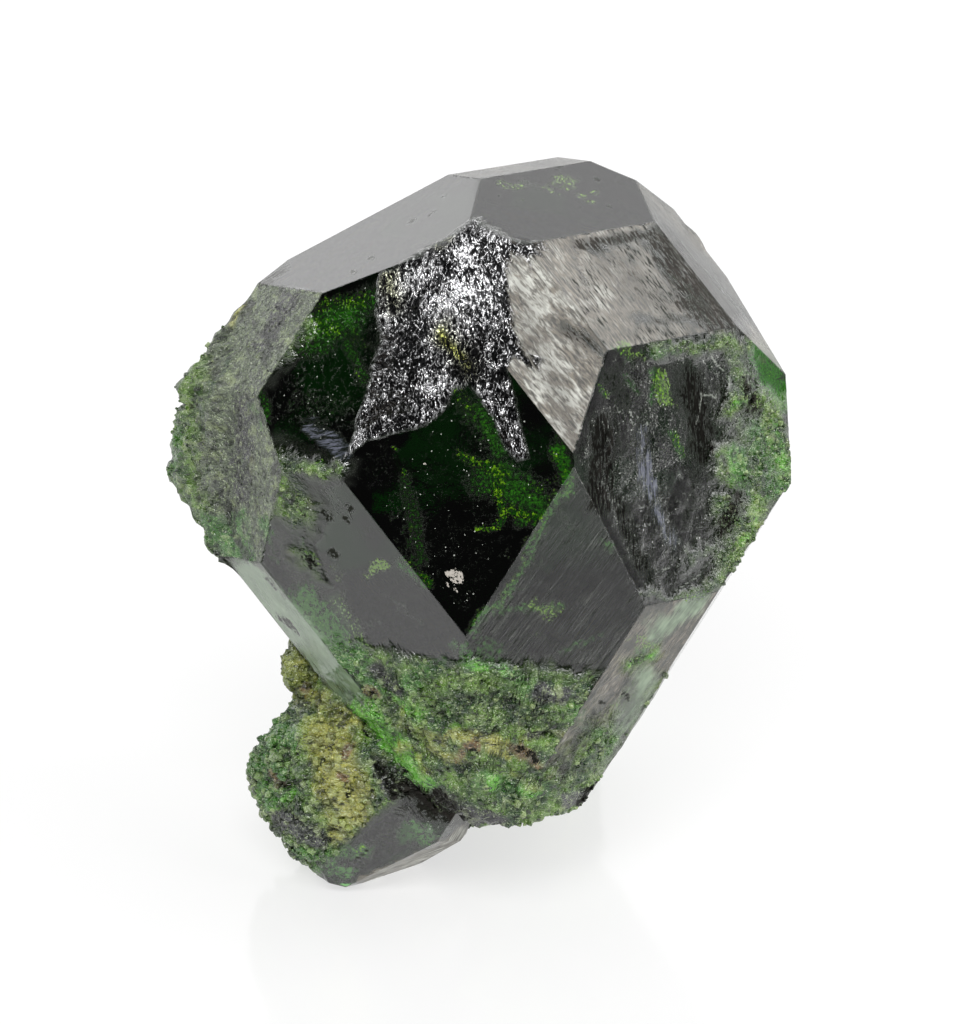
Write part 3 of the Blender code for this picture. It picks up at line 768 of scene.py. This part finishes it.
# Film on the small crystal, and its other marks.
SMALL_FILM = ((366, 884, 415, 866, 9, 1.0), (405, 868, 466, 836, 11, 1.0))
SMALL_MARKS = {
    # Painted light: green glow from inside the small crystal.
    "glow": ((305, 850, 365, 848, 6, 0.7), (300, 858, 325, 862, 5, 0.6), (345, 824, 354, 828, 5, 0.7)),
    "fern": (
        (302, 852, 366, 850, 9, 1.1), (315, 870, 345, 876, 8, 0.8), (262, 740, 275, 790, 22, 1.0),
        (275, 720, 290, 740, 15, 0.9), (320, 868, 350, 874, 10, 0.9), (300, 850, 330, 860, 9, 0.9),
        (412, 825, 428, 838, 9, 0.8), (338, 845, 366, 846, 6, 0.8),
    ),
    "lime": (
        (280, 800, 300, 795, 8, 0.6), (345, 822, 355, 826, 6, 1.0), (385, 712, 392, 722, 5, 0.7),
        (300, 848, 330, 850, 7, 0.5),
    ),
    "yellow": (
        (330, 740, 345, 800, 30, 1.0), (350, 720, 320, 700, 22, 0.7), (365, 800, 340, 830, 20, 0.8),
        (300, 700, 310, 690, 14, 0.7),
    ),
    "brown": ((350, 745, 345, 755, 7, 0.9), (270, 775, 276, 782, 7, 0.9), (338, 775, 345, 780, 6, 0.8)),
    "slate": ((280, 818, 318, 838, 12, 0.9), (375, 760, 395, 790, 12, 0.7), (310, 700, 300, 712, 9, 0.6)),
    "murk": ((405, 835, 430, 830, 14, 1.0), (335, 868, 350, 874, 10, 0.9), (420, 790, 450, 800, 16, 0.5)),
    # Painted shade on the small crystal: under the large crystal's overhang and in its hollows.
    "shade": (
        (408, 780, 440, 800, 13, 1.0), (430, 805, 462, 815, 13, 1.1), (445, 790, 470, 815, 8, 0.9),
        (378, 765, 382, 775, 6, 0.9), (392, 775, 398, 800, 8, 0.8), (350, 790, 345, 795, 5, 0.7),
        (322, 760, 318, 770, 4, 0.7), (300, 745, 296, 755, 4, 0.7), (362, 725, 368, 735, 5, 0.8),
        (285, 850, 300, 846, 5, 0.6), (358, 862, 364, 868, 3, 0.6), (275, 820, 285, 830, 6, 0.6),
        (262, 740, 282, 795, 15, 0.42), (312, 848, 345, 857, 7, 0.45),
    ),
    # Dark film, and painted shadow where the small crystal lies under the large one.
    "smudge": (
        (410, 785, 462, 815, 15, 1.2), (425, 845, 436, 850, 3, 0.8), (385, 770, 398, 800, 7, 0.6),
        (400, 815, 440, 812, 8, 0.6), (352, 858, 366, 850, 4, 0.7), (372, 842, 392, 830, 4, 0.5),
    ),
}


def small_crystal(material):
    """The small crystal: flat garnet faces tiled as polar grids. Its upper left half is raised by crust, its
    lower facets stay clean."""
    faces, normals, distances = crystal_planes(SMALL_SIZE, SMALL_FACES, SMALL_TURN)
    points, triangles = tiled_crystal(normals, distances, np.full(len(faces), TILE_SMALL))
    room = distances - points @ normals.T
    nearest = np.argmin(room, axis=1)
    direction = point_normals(points, triangles)
    front = facing(direction)
    placed = points + SMALL_OFFSET
    places = in_picture(placed)
    wander = drift(placed)
    ragged = places + RAGGED_SMALL * wander
    up_left = math.sqrt(0.5) * (UP - RIGHT)
    raised = ramp(points @ up_left, SMALL_CRUST_FROM, CRUST_FADE)
    crust = ease_between(points @ up_left + 0.2 * wander[:, 0], SMALL_CRUST_FROM, SMALL_CRUST_FROM + 0.5)
    points = points + direction * ((crust_lumps(placed) + 0.08 * clouds(placed, 0.5, 51.0)) * raised)[:, None]
    s4 = nearest == faces.index((-1, -2, 1))
    painted = {label: strokes(ragged, marks) * front for label, marks in SMALL_MARKS.items()}
    values = crusty_values(placed, crust, {
        **painted, "etched": s4.astype(float), "streaked": np.full(len(points), 0.05), "threads": s4 * 0.6,
        "jade": 0.6 * strokes(ragged, LARGE_MARKS["jade"]) * front,
        "grain": streak_places(placed, faces, normals, nearest),
        "bloom": np.maximum(np.where(s4, 0.0, 0.08), strokes(ragged, SMALL_FILM) * front),
    })
    mesh_piece("small_crystal", points, triangles, material, values, MAIN_CENTRE + SMALL_OFFSET)
    return points + SMALL_OFFSET, direction, values


def broken_foot(material):
    """The foot that the large crystal broke off its rock with: flat sides tiled as polar grids and raised by
    crust, flat underneath."""
    normals = np.array([side for side, _ in FOOT_SIDES])
    normals /= np.linalg.norm(normals, axis=1)[:, None]
    distances = np.array([distance for _, distance in FOOT_SIDES])
    points, triangles = tiled_crystal(normals, distances, np.full(len(normals), TILE_FOOT))
    direction = point_normals(points, triangles)
    placed = points + FOOT_OFFSET
    points = points + direction * (FOOT_RELIEF * crust_lumps(placed))[:, None]
    values = crusty_values(placed, np.ones(len(points)), {})
    mesh_piece("broken_foot", points, triangles, material, values, MAIN_CENTRE + FOOT_OFFSET)
    return points + FOOT_OFFSET, direction, values


def crust_mass(name, material, offset, half_sizes, columns, least_yellow, yellow, brown):
    """A rounded mass of crust: a ball from turns round it and from pole to pole, stretched to its half
    sizes. Yellow and brown are marks in the photograph's pixels, and no place is less yellow than said."""
    rows = columns // 2
    lift = np.linspace(0.0, math.pi, rows + 1)[1:-1, None]
    turn = np.arange(columns)[None] * 2.0 * math.pi / columns
    ball = np.stack([
        np.sin(lift) * np.cos(turn), np.sin(lift) * np.sin(turn), np.cos(lift) * np.ones_like(turn),
    ], axis=-1).reshape(-1, 3)
    ball = np.vstack([ball, (0.0, 0.0, 1.0), (0.0, 0.0, -1.0)])
    index = np.arange((rows - 1) * columns).reshape(rows - 1, columns)
    top, bottom = len(ball) - 2, len(ball) - 1
    triangles = np.vstack([
        between_rows(index),
        np.column_stack([np.full(columns, top), index[0], np.roll(index[0], -1)]),
        np.column_stack([np.full(columns, bottom), np.roll(index[-1], -1), index[-1]]),
    ])
    points = ball * np.array(half_sizes)
    direction = point_normals(points, triangles)
    placed = points + offset
    places = in_picture(placed) + RAGGED_SMALL * drift(placed)
    points = points + direction * crust_lumps(placed)[:, None]
    values = crusty_values(placed, np.ones(len(points)), {
        "yellow": np.maximum(strokes(places, yellow), least_yellow), "brown": strokes(places, brown)})
    mesh_piece(name, points, triangles, material, values, MAIN_CENTRE + offset)
    return points + offset, direction, values


def crust_grains(name, material, hosts, count, sizes, seed):
    """Small garnets grown on the crust, as one mesh. Each is a rhombic dodecahedron, the 8 corners of a
    cube and 6 points twice as far out along its axes, turned at random and sunk into the point that it grows
    on. A few with the highest tone are smaller and painted bright as sparkles."""
    chance = np.random.default_rng(seed)
    points = np.vstack([host[0] for host in hosts])
    direction = np.vstack([host[1] for host in hosts])
    values = {label: np.concatenate([host[2][label] for host in hosts]) for label in hosts[0][2]}
    wanted = ease_between(values["crust"], 0.5, 0.9)
    wanted = wanted * (0.3 + 0.7 * ease_between(direction @ TOWARDS, -0.5, 0.1))
    wanted *= (1.0 - 0.8 * values["dull"]) * ease_between(clouds(points, 1.4, 71.0), -0.5, 0.2)
    chosen = chance.choice(len(points), count, replace=False, p=wanted / wanted.sum())
    cube = np.array(list(itertools.product((-1.0, 1.0), repeat=3)))
    tips = 2.0 * np.vstack([np.eye(3), -np.eye(3)])
    shape = np.vstack([cube, tips]) / 1.7
    corners = []
    for side in forms((1, 1, 0)):
        around = np.flatnonzero(shape @ np.array(side) > 1.1)
        ends, middles = around[around >= 8], around[around < 8]
        for middle in middles:
            corner = [ends[0], ends[1], middle]
            facing = np.cross(shape[corner[1]] - shape[corner[0]], shape[corner[2]] - shape[corner[0]])
            corners.append(corner if facing @ np.array(side) > 0 else corner[::-1])
    corners = np.array(corners)
    turns = chance.normal(size=(count, 3, 3))
    turns, _ = np.linalg.qr(turns)
    turns *= np.sign(np.linalg.det(turns))[:, None, None]
    size = sizes[0] + (sizes[1] - sizes[0]) * chance.random(count) ** 2.5
    tone = chance.random(count)
    size *= (1.0 - 0.6 * values["dull"][chosen]) * np.where(tone > 0.99, 0.45, 1.0)
    stretch = 1.0 + 0.35 * (chance.random((count, 1, 3)) - 0.5)
    bodies = (shape[None] * stretch * size[:, None, None]) @ turns
    middle = points[chosen] + direction[chosen] * (size * (chance.random(count) * 0.55 - 0.55))[:, None]
    triangles = corners[None] + len(shape) * np.arange(count)[:, None, None]
    stored = {label: np.repeat(value[chosen], len(shape), axis=0) for label, value in values.items()}
    stored["tone"] = np.repeat(tone, len(shape))
    stored["hollow"] = 0.55 * stored["hollow"]
    mesh_piece(name, (bodies + middle[:, None]).reshape(-1, 3), triangles.reshape(-1, 3), material, stored,
               MAIN_CENTRE, False)


def bare_tree(owner):
    """The emptied node tree of a material or a world."""
    owner.use_nodes = True
    owner.node_tree.nodes.clear()
    return owner.node_tree


def add(tree, kind, settings=None, out=None, **links):
    """Adds a node. Settings are its own properties; links go to its inputs by identifier, with _ for a space,
    and are values or outputs of other nodes. Gives the output named out, or else the first one in use."""
    made = tree.nodes.new(kind)
    for name, value in (settings or {}).items():
        setattr(made, name, value)
    for name, value in links.items():
        socket = next(s for s in made.inputs if s.identifier.replace(" ", "_") == name)
        if isinstance(value, bpy.types.NodeSocket):
            tree.links.new(value, socket)
        else:
            socket.default_value = value
    if out is not None:
        return made.outputs[out]
    return next((o for o in made.outputs if o.enabled), made)


SOFT = {"interpolation_type": "SMOOTHSTEP"}
# Coats over the clear garnet, each laid on the last. A row gives the stored value that places it, the pattern
# that breaks it up and how deeply, the two levels between which it comes in, how much of it there is at most,
# and the pattern that mixes its two colours.
BODY_COATS = (
    ("murk", "fine", 3.0, 0.45, 0.95, 1.0, "crisp", "061c06", "2c601a"),
    # Painted light: green shining through the crystal, over its deep green.
    ("emerald", "crisp", 2.0, 0.30, 0.95, 0.95, "crisp", "041a02", "38861a"),
    ("bloom", "blotch", 2.4, 0.20, 0.60, 0.92, "hair", "37332c", "8a8172"),
    ("bloom", "blotch", 5.0, 0.60, 1.20, 0.95, "hair", "7b786e", "dedfd6"),
    ("streaked", "hair", 2.0, 1.40, 2.00, 0.5, "fine", "6a6c66", "a8a9a2"),
    ("fern", "fine", 3.0, 0.40, 1.10, 0.85, "crisp", "1c4618", "5c9446"),
    ("moss", "crisp", 3.0, 0.40, 1.00, 1.0, "crisp", "24481c", "86aa4a"),
    ("soot", "lined", 3.0, 0.45, 0.95, 1.0, "lined", "12120f", "6c6658"),
    # Pale grey green, partly painted reflection of the white floor.
    ("jade", "blotch", 1.6, 0.25, 0.90, 0.8, "patches", "56764f", "b8d4b0"),
    ("brushed", "lined", 4.0, 0.40, 1.20, 1.0, "lined", "24252c", "8c90a0"),
    ("threads", "ridges", 2.0, 0.30, 1.50, 0.85, "patches", "667064", "c4c6c0"),
    # Painted light: green glow from inside the garnet.
    ("glow", "crisp", 4.0, 0.40, 1.00, 1.0, "flecks", "0e3c06", "7cb01c"),
    # Painted glints: white specks on the etched faces.
    ("etched", "glints", 2.0, 0.60, 1.00, 0.9, "fine", "b8c0b0", "f0f2ec"),
    ("lines", "fine", 2.0, 0.35, 0.90, 0.85, "fine", "8c9088", "b4bab0"),
    ("white", "crisp", 3.0, 0.35, 0.60, 1.0, "fine", "b8b0a4", "e6e0d8"),
)
# Coats over the crust, in the same form.
CRUST_COATS = (
    ("dull", "patches", 2.0, 0.35, 0.80, 0.95, "shelf", "262428", "828f76"),
    ("fern", "patches", 1.6, 0.30, 0.80, 0.85, "shelf", "123a0c", "54a034"),
    ("lime", "patches", 1.6, 0.30, 0.80, 0.95, "shelf", "1d6c0e", "90ec48"),
    ("yellow", "patches", 1.6, 0.30, 0.80, 0.95, "shelf", "545e14", "e8e47c"),
    ("brown", "patches", 1.6, 0.30, 0.80, 0.9, "shelf", "38261a", "b4885e"),
    ("slate", "patches", 1.2, 0.30, 0.70, 0.95, "shelf", "28282c", "5c5b62"),
    ("tone", "fine", 0.0, 0.60, 1.00, 0.45, "patches", "acc47c", "ccd89c"),
    ("tone", "fine", 0.0, 0.45, 0.00, 0.70, "patches", "0a1605", "1c2e0e"),
    # Painted shade in the low parts of the crust's shelves.
    ("shelf", "fine", 0.0, 0.45, 0.30, 0.85, "fine", "0a1405", "101c08"),
    # Painted highlights on the brinks where a shelf ends.
    ("brinks", "fine", 0.0, 0.30, 1.00, 0.75, "patches", "b4d08a", "dce6c0"),
    # Painted shade in the crust's hollows.
    ("hollow", "shelf", 1.6, 0.30, 1.00, 0.85, "fine", "080e05", "0e1a08"),
    # Painted glints on the crust, and painted sparkles on the brightest grains.
    ("glints", "fine", 0.0, 0.00, 1.00, 1.00, "fine", "e6ead4", "e6ead4"),
    ("tone", "fine", 0.0, 0.990, 0.994, 1.0, "fine", "f2f4ea", "f2f4ea"),
)
# Painted shade in cavities, pits and under the large crystal's overhang, with dark film and dark growth
# lines: places that send nothing back.
SHADE_COATS = (
    ("shade", "fine", 4.0, 0.30, 0.90, 1.0, "fine", "0a0b08", "26281f"),
    ("smudge", "hair", 1.4, 0.30, 1.00, 0.97, "lined", "080807", "393530"),
    ("streaked", "hair", -2.0, 1.45, 2.00, 0.8, "fine", "14150f", "26281f"),
)
STORED = (
    "crust", "silver", "etched", "bloom", "streaked", "tone", "murk", "emerald", "fern", "moss", "soot",
    "jade", "brushed", "threads", "glow", "lines", "white", "dull", "lime", "yellow", "brown", "slate",
    "hollow", "shade", "smudge", "sheen", "gilt",
)
# Noises of the garnet: what they are laid out in, their width in mm, detail, roughness and distortion.
# Patches are nearly as wide as the crust's lumps, fine and crisp noise as its grains. The facets of the
# silvery skin hang down a little. Growth lines run along the faces, hairlines are finer, and the crust's
# shelves lie level.
NOISES = {
    "patches": ("places", 0.9, 2.0, 0.65, 0.0), "fine": ("places", 0.15, 2.0, 0.75, 0.0),
    "crisp": ("places", 0.08, 1.0, 0.6, 0.0), "winding": ("places", 0.26, 1.0, 0.6, 1.2),
    "facets": ("hung", 0.15, 1.0, 0.5, 1.5), "shelf": ("level", 0.17, 2.0, 0.65, 0.6),
    "lined": ("along", 0.2, 3.0, 0.8, 0.25), "hair": ("combed", 0.1, 2.0, 0.7, 0.5),
}


def garnet():
    """Andradite garnet, deep green and glassy: IOR 1.89 gives its bright faces, absorption its dark body,
    and etching and a granular crust scatter light in yellow and leaf green. Painted light lies in its colour
    too: glints, sparkles and lit brinks, the silvery skin's bright facets, green glow where light shines
    through, and shade in hollows, pits and under the overhang."""
    made = bpy.data.materials.new("green_andradite_garnet")
    node = functools.partial(add, bare_tree(made))
    attribute, math_node, noise, spread, mix = (
        "ShaderNodeAttribute", "ShaderNodeMath", "ShaderNodeTexNoise", "ShaderNodeMapRange", "ShaderNodeMix")
    soft, colours = SOFT, {"data_type": "RGBA"}
    plus, times, larger, fused, unsigned, less = (
        {"operation": name, "use_clamp": name == "SUBTRACT"}
        for name in ("ADD", "MULTIPLY", "MAXIMUM", "MULTIPLY_ADD", "ABSOLUTE", "SUBTRACT"))

    # Patterns. Places are stored in metres and growth lines in mm, so each layout has its units for one mm.
    # Growth lines are drawn out five times, hairlines four and a half times.
    here = node("ShaderNodeTexCoord", None, "Object")
    grain = node(attribute, {"attribute_name": "grain"}, "Vector")
    mm = 1.0 / MM
    layouts = {"places": (here, mm)}
    for name, start, unit, stretch in (
            ("hung", here, mm, (1.3, 0.7, 0.6)), ("level", here, mm, (0.35, 1.0, 1.0)),
            ("along", grain, 1.0, (0.2, 1.0, 1.0)), ("combed", grain, 1.0, (0.22, 1.0, 1.0))):
        layouts[name] = node("ShaderNodeMapping", Vector=start, Scale=stretch), unit
    noises = {}
    for name, (layout, width, detail, roughness, distortion) in NOISES.items():
        place, unit = layouts[layout]
        noises[name] = node(noise, None, "Fac", Vector=place, Scale=unit / width, Detail=detail,
                            Roughness=roughness, Distortion=distortion)
    patches, fine, lined, shelf, facets = (
        noises[name] for name in ("patches", "fine", "lined", "shelf", "facets"))
    part = node(math_node, times, Value=patches, Value_001=0.5)
    blotch = node(math_node, fused, Value=lined, Value_001=0.5, Value_002=part)
    hair = node(spread, soft, Value=noises["hair"], From_Min=0.34, From_Max=0.66)
    flecks = node(spread, soft, Value=fine, From_Min=0.46, From_Max=0.68)
    # Broken bright threads lie where a winding noise passes its middle, painted highlights on the brinks
    # where a shelf ends, and painted glints at points 0.2 mm apart.
    threads, brinks = (
        node(spread, soft, From_Min=far, From_Max=close, Value=node(
            math_node, unsigned, Value=node(math_node, plus, Value=noises[name], Value_001=-middle)))
        for name, middle, far, close in (("winding", 0.5, 0.035, 0.004), ("shelf", 0.56, 0.03, 0.0)))
    broken = node(spread, soft, Value=fine, From_Min=0.42, From_Max=0.56)
    specks = node("ShaderNodeTexVoronoi", None, "Distance", Vector=here, Scale=mm / 0.2)
    small = node(spread, soft, Value=specks, From_Min=0.16, From_Max=0.08)
    bright = node(spread, soft, Value=fine, From_Min=0.47, From_Max=0.56)
    patterns = {
        **noises, "blotch": blotch, "hair": hair, "flecks": flecks, "brinks": brinks,
        "ridges": node(math_node, times, Value=threads, Value_001=broken),
        "glints": node(math_node, times, Value=small, Value_001=bright),
    }
    stored = {name: node(attribute, {"attribute_name": name}, "Fac") for name in STORED}

    def laid(coats, colour):
        """Lays the coats on a colour. Gives it back with a mask of where they cover it."""
        covered = 0.0
        for label, pattern, depth, low, high, most, blend, dark, light in coats:
            broken = node(math_node, fused, Value=patterns[pattern], Value_001=depth,
                          Value_002=1.0 - depth / 2.0)
            level = node(math_node, times, Value=broken, Value_001=stored.get(label) or patterns[label])
            factor = node(spread, soft, Value=level, From_Min=low, From_Max=high, To_Max=most)
            paint = node(mix, colours, Factor_Float=patterns[blend], A_Color=hex_colour(dark),
                         B_Color=hex_colour(light))
            colour = node(mix, colours, Factor_Float=factor, A_Color=colour, B_Color=paint)
            covered = node(math_node, larger, Value=covered, Value_001=factor)
        return colour, covered

    body, covered = laid(BODY_COATS, hex_colour("2c3a28"))
    wide = node(spread, soft, Value=patches, From_Min=0.35, From_Max=0.65)
    leaf = node(mix, colours, Factor_Float=wide, A_Color=hex_colour("22461a"), B_Color=hex_colour("70983a"))
    leaf, _ = laid(CRUST_COATS, leaf)
    crust, silver = stored["crust"], stored["silver"]
    shade_colour, shade = laid(SHADE_COATS, hex_colour("1c1e18"))
    for cover in (crust, silver, shade):
        covered = node(math_node, larger, Value=covered, Value_001=cover)
    solid = node(spread, soft, Value=covered, From_Min=0.0, From_Max=0.12)
    body = node(mix, colours, Factor_Float=solid, A_Color=hex_colour("e4eedc"), B_Color=body)
    colour = node(mix, colours, Factor_Float=crust, A_Color=body, B_Color=leaf)

    # The silvery skin is broken into small metal facets, either bright or black: a painted pattern of glints,
    # brighter where painted sheen is stored.
    shine = node(math_node, fused, Value=patches, Value_001=0.3, Value_002=facets)
    shine = node(math_node, fused, Value=stored["sheen"], Value_001=0.2, Value_002=shine)
    glinting = node(mix, colours, Factor_Float=stored["gilt"], A_Color=hex_colour("f4f4f6"),
                    B_Color=hex_colour("a8ac5c"))
    shine = node(spread, soft, Value=shine, From_Min=0.63, From_Max=0.87)
    skin_glints = node(mix, colours, Factor_Float=shine, A_Color=hex_colour("08090a"), B_Color=glinting)
    colour = node(mix, colours, Factor_Float=silver, A_Color=colour, B_Color=skin_glints)
    colour = node(mix, colours, Factor_Float=shade, A_Color=colour, B_Color=shade_colour)

    # Gloss: clean faces 0.04, etched ones 0.07, filmed ones up to 0.5, sooty ones up to 0.3 more, crust 0.12
    # to 0.4, silvery skin 0.12.
    # A cavity's shade is metallic, because black metal mirrors nothing.
    rough = 0.04
    for label, gain in (("bloom", 0.45), ("etched", 0.03), ("soot", 0.3)):
        rough = node(math_node, fused, Value=stored[label], Value_001=gain, Value_002=rough)
    grainy = node(spread, soft, Value=fine, From_Min=0.3, From_Max=0.7, To_Min=0.12, To_Max=0.4)
    rough = node(mix, None, Factor_Float=crust, A_Float=rough, B_Float=grainy)
    rough = node(mix, None, Factor_Float=silver, A_Float=rough, B_Float=0.12)
    metal = node(math_node, times, Value=silver, Value_001=0.9)
    deep = node(spread, soft, Value=shade, From_Min=0.35, From_Max=0.95, To_Max=0.92)
    metal = node(math_node, larger, Value=metal, Value_001=deep)
    clear = node(math_node, less, Value=1.0, Value_001=covered)

    # Relief that is too fine for the mesh, in mm.
    height = node(math_node, times, Value=fine, Value_001=0.0012)
    for pattern, place, tall in ((fine, crust, 0.08), (shelf, crust, 0.16), (facets, silver, 0.12),
                                 (lined, stored["streaked"], 0.03), (fine, stored["etched"], 0.008)):
        raised = node(math_node, times, Value=pattern, Value_001=place)
        height = node(math_node, fused, Value=raised, Value_001=tall, Value_002=height)
    bump = node("ShaderNodeBump", Strength=1.0, Distance=MM, Height=height)

    shader = node("ShaderNodeBsdfPrincipled", Base_Color=colour, Roughness=rough, IOR=1.89, Metallic=metal,
                  Transmission_Weight=clear, Normal=bump)
    soaked = node("ShaderNodeVolumeAbsorption", Color=(0.26, 0.66, 0.16, 1.0), Density=750.0)
    node("ShaderNodeOutputMaterial", Surface=shader, Volume=soaked)
    return made


def opal_acrylic():
    """A sheet of opal acrylic, satin and lit from below: it gives the even white ground of a table study.
    Its light falls off from 19 to 30 mm in front of the specimen, and from 80 to 120 mm all round it, so that
    the faces that look that way stay dark."""
    made = bpy.data.materials.new("opal_acrylic_sheet")
    node = functools.partial(add, bare_tree(made))
    here = node("ShaderNodeTexCoord", None, "Object")
    forward = node("ShaderNodeSeparateXYZ", None, "Y", Vector=here)
    away = node("ShaderNodeVectorMath", {"operation": "LENGTH"}, "Value", Vector=here)
    front, around = (
        node("ShaderNodeMapRange", SOFT, Value=value, From_Min=near * MM,
             From_Max=far * MM, To_Min=start, To_Max=end)
        for value, near, far, start, end in (
            (forward, -30.0, -19.0, 0.25, 0.66), (away, 80.0, 120.0, 1.0, 0.0)))
    light = node("ShaderNodeMath", {"operation": "MULTIPLY"}, Value=front, Value_001=around)
    shader = node("ShaderNodeBsdfPrincipled", Base_Color=hex_colour("959595"), Roughness=0.12, IOR=1.3,
                  Emission_Color=(1.0, 1.0, 1.0, 1.0), Emission_Strength=light)
    node("ShaderNodeOutputMaterial", Surface=shader)
    return made


def floor_sheet():
    """A round sheet under the specimen: rings of points from its middle outwards."""
    columns, radii = 96, np.array((0.02, 0.06, 0.2, 0.6, 1.6))
    turn = np.arange(columns) * 2.0 * math.pi / columns
    rings = radii[:, None, None] * np.stack([np.cos(turn), np.sin(turn), 0.0 * turn], axis=-1)
    points = np.vstack([np.zeros((1, 3)), rings.reshape(-1, 3)])
    index = 1 + np.arange(len(radii) * columns).reshape(len(radii), columns)
    fan = np.column_stack([np.zeros(columns, dtype=int), index[0], np.roll(index[0], -1)])
    sheet = meshed("floor_sheet", points, np.vstack([fan, between_rows(index)]), opal_acrylic())


# The soft boxes: the direction that each stands in, its distance, width and height in metres, its radiance.
SOFT_BOXES = {
    "right_box": ((0.76, -0.12, 0.60), 0.6, 0.62, 0.40, 2.6),
    "top_box": ((-0.12, -0.64, 0.76), 0.6, 0.40, 0.26, 8.0),
}


def soft_box(name, towards, distance, width, height, radiance):
    """A rectangular studio light that faces the specimen, by its direction, size in metres and radiance."""
    data = bpy.data.lights.new(name, "AREA")
    data.shape = "RECTANGLE"
    data.size, data.size_y = width, height
    data.energy = radiance * math.pi * width * height
    light = in_scene(name, data)
    place = Vector(towards).normalized() * distance
    light.location = place + Vector((0.0, 0.0, 0.012))
    light.rotation_euler = place.to_track_quat("Z", "Y").to_euler()


def studio():
    """A white room behind the specimen and a dim one in front, with soft boxes above and to the right."""
    world = bpy.data.worlds.new("studio_room")
    bpy.context.scene.world = world
    node = functools.partial(add, bare_tree(world))
    towards = node("ShaderNodeTexCoord", None, "Generated")
    back, height = (node("ShaderNodeSeparateXYZ", None, axis, Vector=towards) for axis in "YZ")
    glow, low = (
        node("ShaderNodeMapRange", SOFT, Value=value, From_Min=start,
             From_Max=end, To_Min=first, To_Max=last)
        for value, start, end, first, last in ((back, 0.0, 0.32, 0.015, 0.97), (height, 0.1, 0.5, 1.6, 1.05)))
    both = node("ShaderNodeMath", {"operation": "MULTIPLY"}, Value=glow, Value_001=low)
    paint = node("ShaderNodeBackground", Color=(1.0, 1.0, 1.0, 1.0), Strength=both)
    node("ShaderNodeOutputWorld", Surface=paint)
    for name, settings in SOFT_BOXES.items():
        soft_box(name, *settings)


def photo_camera():
    """The photograph's view: the same tilt, distance and frame."""
    shift = (PICTURE_MIDDLE - CRYSTAL_AT) * (1.0, -1.0) * PIXEL
    place = MAIN_CENTRE + shift[0] * RIGHT + shift[1] * UP + CAMERA_DISTANCE * PIXEL * TOWARDS
    data = bpy.data.cameras.new("photo_camera")
    data.sensor_fit = "HORIZONTAL"
    data.sensor_width = SENSOR
    data.lens = SENSOR * CAMERA_DISTANCE / PICTURE_WIDTH
    data.clip_start = 0.01
    camera = in_scene("photo_camera", data)
    camera.location = Vector(place * MM)
    camera.rotation_euler = (math.pi / 2 - VIEW_TILT, 0.0, 0.0)
    bpy.context.scene.camera = camera


photo_camera()
studio()
floor_sheet()
skin = garnet()
large = large_crystal(skin)
small = small_crystal(skin)
foot = broken_foot(skin)
bank = crust_mass("crust_bank", skin, BANK_OFFSET, BANK_SIZE, columns=150, least_yellow=0.25,
                  yellow=SMALL_MARKS["yellow"], brown=SMALL_MARKS["brown"])
chip = crust_mass("crust_chip", skin, CHIP_OFFSET, CHIP_SIZE, columns=90, least_yellow=0.55,
                  yellow=(), brown=((305, 690, 310, 697, 9, 1.0),))
crust_grains("large_grains", skin, [large], count=3600, sizes=(0.04, 0.13), seed=5)
crust_grains("small_grains", skin, [small, bank, chip, foot], count=6000, sizes=(0.05, 0.19), seed=8)
bpy.context.scene.view_settings.view_transform = "Standard"
